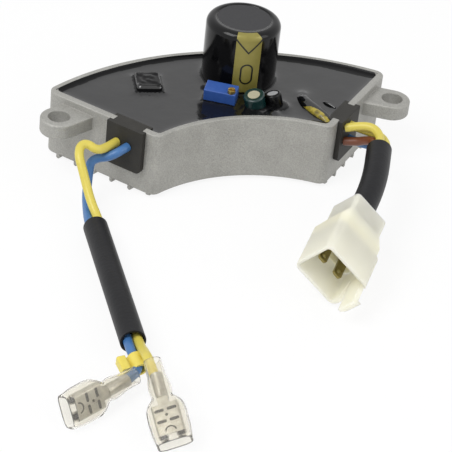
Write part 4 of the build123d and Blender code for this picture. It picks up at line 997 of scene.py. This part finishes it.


# Plug: one nylon moulding with four tabs of bare brass strip. Natural nylon is ivory and lets some light
# through; its hollows get a painted tone, a more yellow ivory wherever a spot is enclosed.
HOLLOW_REACH = 9
nylon = new_finish(
    "natural_nylon",
    Roughness=0.4,
    IOR=1.45,
    Specular_IOR_Level=0.25,
    Subsurface_Weight=1.0,
    Subsurface_Radius=(0.9, 0.9, 0.9),
    Subsurface_Scale=0.006,
)
tree = nylon.node_tree
# Painted hollow tone: ambient occlusion picks the more yellow ivory where a spot is enclosed, in place of light
# glowing through the nylon
hollow = add_node(tree, "ShaderNodeAmbientOcclusion", {"Distance": HOLLOW_REACH * MM}, samples=8)
links = {"Value": hollow.outputs["AO"], "From Min": 0.15, "From Max": 0.8}
open_share = add_node(tree, "ShaderNodeMapRange", links).outputs[0]
links = {"Factor": open_share, "A": linear("#F1EBCB"), "B": linear("#EEE9CE")}
ivory = add_node(tree, "ShaderNodeMix", links, data_type="RGBA")
tree.links.new(ivory.outputs["Result"], tree.nodes["Principled BSDF"].inputs["Base Color"])
grained(nylon, 6.0, 0.06, edge=0.5)

PLUG_MOUTH = Vector((9.17, -80.97, 10.9))
PLUG_OUT, PLUG_SIDE, PLUG_UP = square_to((-0.551, -0.826, -0.116), (0.658, -0.345, -0.674))
HOOD_INSIDE = (6.9, 5.55)
HOOD_DEPTH = 12.0
HOOD_END = 17.3
COLLAR_END = 24.7
COLLAR_HALF = (6.2, 5.35)
WALL_THINNED = 0.4
TAPER_START = 15.5
TAPER_END = 20.8
PLUG_END = 27.0
NEAR = 0.1
SLACK = 0.05
RING_WIDTH = 1.0
LATCH_ROOT = 6.2
LATCH_SIDE = 6.5


def tapered(spot):
    """The photographed hood tapers to a longer collar, and its walls are thinner at the mouth."""
    offset = spot - PLUG_MOUTH
    depth, side, level = -offset.dot(PLUG_OUT), offset.dot(PLUG_SIDE), offset.dot(PLUG_UP)
    on_collar = abs(side) < COLLAR_HALF[0] and abs(level) < COLLAR_HALF[1]
    if depth > COLLAR_END - NEAR:
        return spot - PLUG_OUT * (PLUG_END - COLLAR_END)
    if abs(depth - HOOD_END) < NEAR:
        return spot + PLUG_OUT * (HOOD_END - (TAPER_END if on_collar else TAPER_START))
    inside = abs(side) < HOOD_INSIDE[0] + SLACK and abs(level) < HOOD_INSIDE[1] + SLACK
    on_ring = abs(side) > HOOD_INSIDE[0] - RING_WIDTH or abs(level) > HOOD_INSIDE[1] - RING_WIDTH
    on_latch = depth < LATCH_ROOT and side > LATCH_SIDE
    if inside and on_ring and not on_latch and -NEAR < depth < HOOD_DEPTH + NEAR:
        spot = spot + PLUG_SIDE * (side / HOOD_INSIDE[0] * WALL_THINNED)
        return spot + PLUG_UP * (level / HOOD_INSIDE[1] * WALL_THINNED)
    return spot


plug_moulding = reshaped("plug_moulding", "plug_housing", tapered, "ivory_nylon", nylon)

# Punched brass strip: dulled to an olive brown
brass_strip = new_finish("brass_strip", Metallic=1.0, Roughness=0.35)
mottled(brass_strip, "#8B8050", "#A89C68", 1.0)
grained(brass_strip, 0.3, 0.01, edge=0.1)
dress(brass_strip, "plug_tab_front_yellow", "plug_tab_rear_yellow", "plug_tab_brown", "plug_tab_blue")


# Wires: stranded copper in yellow, blue and brown PVC. Each of the six leads runs from its grommet through a
# sleeve to its terminal. It hangs free, so it is drawn as a round tube along a given route.
def wire_pvc(name, low, high):
    """Extruded PVC insulation: smooth, slightly waxy, faintly mottled."""
    made = new_finish(name, Roughness=0.38, IOR=1.5)
    mottled(made, low, high, 4.0)
    grained(made, 0.8, 0.03)
    return made


yellow_pvc = wire_pvc("yellow_pvc", "#CDBC4E", "#D9CA5C")
blue_pvc = wire_pvc("blue_pvc", "#3A669C", "#4574AA")
brown_pvc = wire_pvc("brown_pvc", "#66371F", "#77432E")
WIRE_WIDTH = 2.6


def tube(name, route, width, finish, round_steps=5, way_steps=12):
    """Round wire on a smooth line whose control points are the route's."""
    curve = bpy.data.curves.new(name, "CURVE")
    curve.dimensions = "3D"
    curve.bevel_depth = width / 2 * MM
    curve.bevel_resolution = round_steps
    curve.resolution_u = way_steps
    curve.use_fill_caps = True
    spline = curve.splines.new("NURBS")
    spline.points.add(len(route) - 1)
    for point, place in zip(spline.points, route):
        point.co = (*[c * MM for c in place], 1)
    spline.order_u = 3
    spline.use_endpoint_u = True
    curve.materials.append(finish)
    return new_object(name, curve)


def cord(name, route, finish):
    """Free wire along its route, in place of its CAD wire."""
    made = tube(name, route, WIRE_WIDTH, finish, round_steps=6, way_steps=16)
    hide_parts(name.replace("_cord", "_wire"))
    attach(made, "regulator")


LEFT_YELLOW_ROUTE = [
    (-35.81, -15.70, 15.45),
    (-39.8, -18.9, 15.4),
    (-42.94, -20.68, 16.2),
    (-45.11, -18.83, 17.4),
    (-47.33, -19.45, 17.2),
    (-48.36, -22.68, 16.0),
    (-47.77, -25.54, 13.6),
    (-47.0, -28.38, 10.0),
    (-46.27, -32.52, 6.6),
    (-45.06, -36.94, 4.0),
    (-45.21, -42.5, 3.81),
    (-46.57, -93.5, 5.55),
    (-46.64, -97.96, 6.0),
    (-47.01, -103.43, 8.4),
    (-47.35, -108.36, 10.4),
    (-46.9, -113.45, 9.1),
]
LEFT_BLUE_ROUTE = [
    (-33.24, -18.49, 15.25),
    (-35.9, -20.4, 15.0),
    (-38.88, -20.06, 13.2),
    (-41.8, -18.4, 12.0),
    (-43.82, -18.48, 10.8),
    (-44.3, -19.47, 8.4),
    (-44.94, -21.4, 5.6),
    (-45.98, -25.31, 3.8),
    (-46.74, -30.16, 3.0),
    (-47.74, -36.87, 3.4),
    (-47.89, -42.4, 3.81),
    (-49.25, -93.5, 5.55),
    (-49.39, -98.76, 5.73),
    (-48.16, -106.29, 4.75),
    (-54.04, -109.69, 4.68),
]
FRONT_YELLOW_ROUTE = [
    (31.75, -20.11, 18.4),
    (36.4, -21.8, 20.0),
    (39.2, -24.2, 20.3),
    (40.06, -27.64, 19.4),
    (38.7, -30.93, 19.1),
    (32.52, -45.83, 17.74),
    (24.6, -57.7, 16.07),
    (21.82, -61.86, 15.48),
    (18.97, -65.64, 17.18),
    (17.43, -67.95, 16.85),
]
REAR_YELLOW_ROUTE = [
    (34.25, -17.39, 17.6),
    (38.6, -21.2, 17.4),
    (41.4, -24.6, 17.6),
    (41.82, -28.56, 17.6),
    (40.3, -32.2, 17.26),
    (34.28, -46.75, 15.93),
    (26.3, -58.7, 14.26),
    (23.58, -62.78, 13.68),
    (22.98, -67.73, 13.08),
    (21.43, -70.05, 12.76),
]
BROWN_ROUTE = [
    (32.02, -19.82, 13.6),
    (35.2, -21.8, 14.4),
    (37.2, -23.7, 15.9),
    (38.68, -26.44, 17.44),
    (37.4, -29.5, 17.15),
    (31.14, -44.63, 15.77),
    (23.2, -56.5, 14.1),
    (20.44, -60.66, 13.52),
    (16.09, -63.14, 13.08),
    (14.54, -65.45, 12.76),
]
RIGHT_BLUE_ROUTE = [
    (34.46, -17.17, 12.8),
    (37.2, -20.5, 12.9),
    (39.9, -23.7, 13.8),
    (40.44, -27.36, 15.64),
    (39.0, -30.9, 15.3),
    (32.89, -45.55, 13.97),
    (24.9, -57.5, 12.3),
    (22.2, -61.58, 11.72),
    (20.09, -65.23, 8.98),
    (18.55, -67.55, 8.66),
]

cord(
    "left_yellow_cord",
    LEFT_YELLOW_ROUTE,
    finish=yellow_pvc,
)
cord(
    "left_blue_cord",
    LEFT_BLUE_ROUTE,
    finish=blue_pvc,
)
cord(
    "right_front_yellow_cord",
    FRONT_YELLOW_ROUTE,
    finish=yellow_pvc,
)
cord(
    "right_rear_yellow_cord",
    REAR_YELLOW_ROUTE,
    finish=yellow_pvc,
)
cord(
    "right_brown_cord",
    BROWN_ROUTE,
    finish=brown_pvc,
)
cord(
    "right_blue_cord",
    RIGHT_BLUE_ROUTE,
    finish=blue_pvc,
)


# Link wire: a yellow wire's inner end. Resin was brushed over it when the tray was filled, so it is clean
# only near its grommet, and a short lead end beside it is coated too. The tails of the six leads are wet with
# resin inside their grommets.

# Yellow insulation under a brushed film of resin: olive, blotched with brown
smeared_pvc = new_finish("resin_smeared_pvc", Roughness=0.3)
mottled(smeared_pvc, "#A89838", "#3A3318", 1.6, detail=3.0, cover=(0.38, 0.66))

LINK_ROUTE = [
    (26.6, -19.4, 19.4),
    (25.6, -17.9, 20.6),
    (24.3, -15.5, 20.9),
    (23.1, -12.6, 20.9),
    (22.3, -9.8, 20.8),
    (22.3, -7.0, 20.6),
    (23.4, -3.6, 19.0),
    (25.0, -1.3, 15.9),
    (25.0, -1.3, 10.8),
]
COAT_WIDTH = 3.4
COAT_ROUTE = [
    (27.2, -18.7, 19.3),
    (26.35, -17.3, 20.2),
    (25.15, -14.9, 20.6),
    (23.7, -12.3, 20.95),
    (22.5, -9.8, 21.2),
    (22.2, -7.0, 21.0),
    (22.9, -3.4, 18.9),
]
STRAY_ROUTE = [(28.2, -8.4, 20.0), (28.6, -9.1, 20.75), (29.7, -10.6, 20.8), (30.9, -12.1, 20.4)]
STRAY_WIDTH = 0.8

link = tube("link_lead", LINK_ROUTE, WIRE_WIDTH, smeared_pvc)
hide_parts("link_wire")
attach(link, "regulator")
for coat in (
    tube("link_coat", COAT_ROUTE, COAT_WIDTH, coated_moulding),
    tube("stray_lead", STRAY_ROUTE, STRAY_WIDTH, coated_moulding),
):
    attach(coat, "regulator")

# Insulation soaked in resin: brownish black
wetted_pvc = new_finish("resin_wetted_pvc", Roughness=0.4)
mottled(wetted_pvc, "#151514", "#232220", 1.0)
dress(wetted_pvc, "wire_tails")
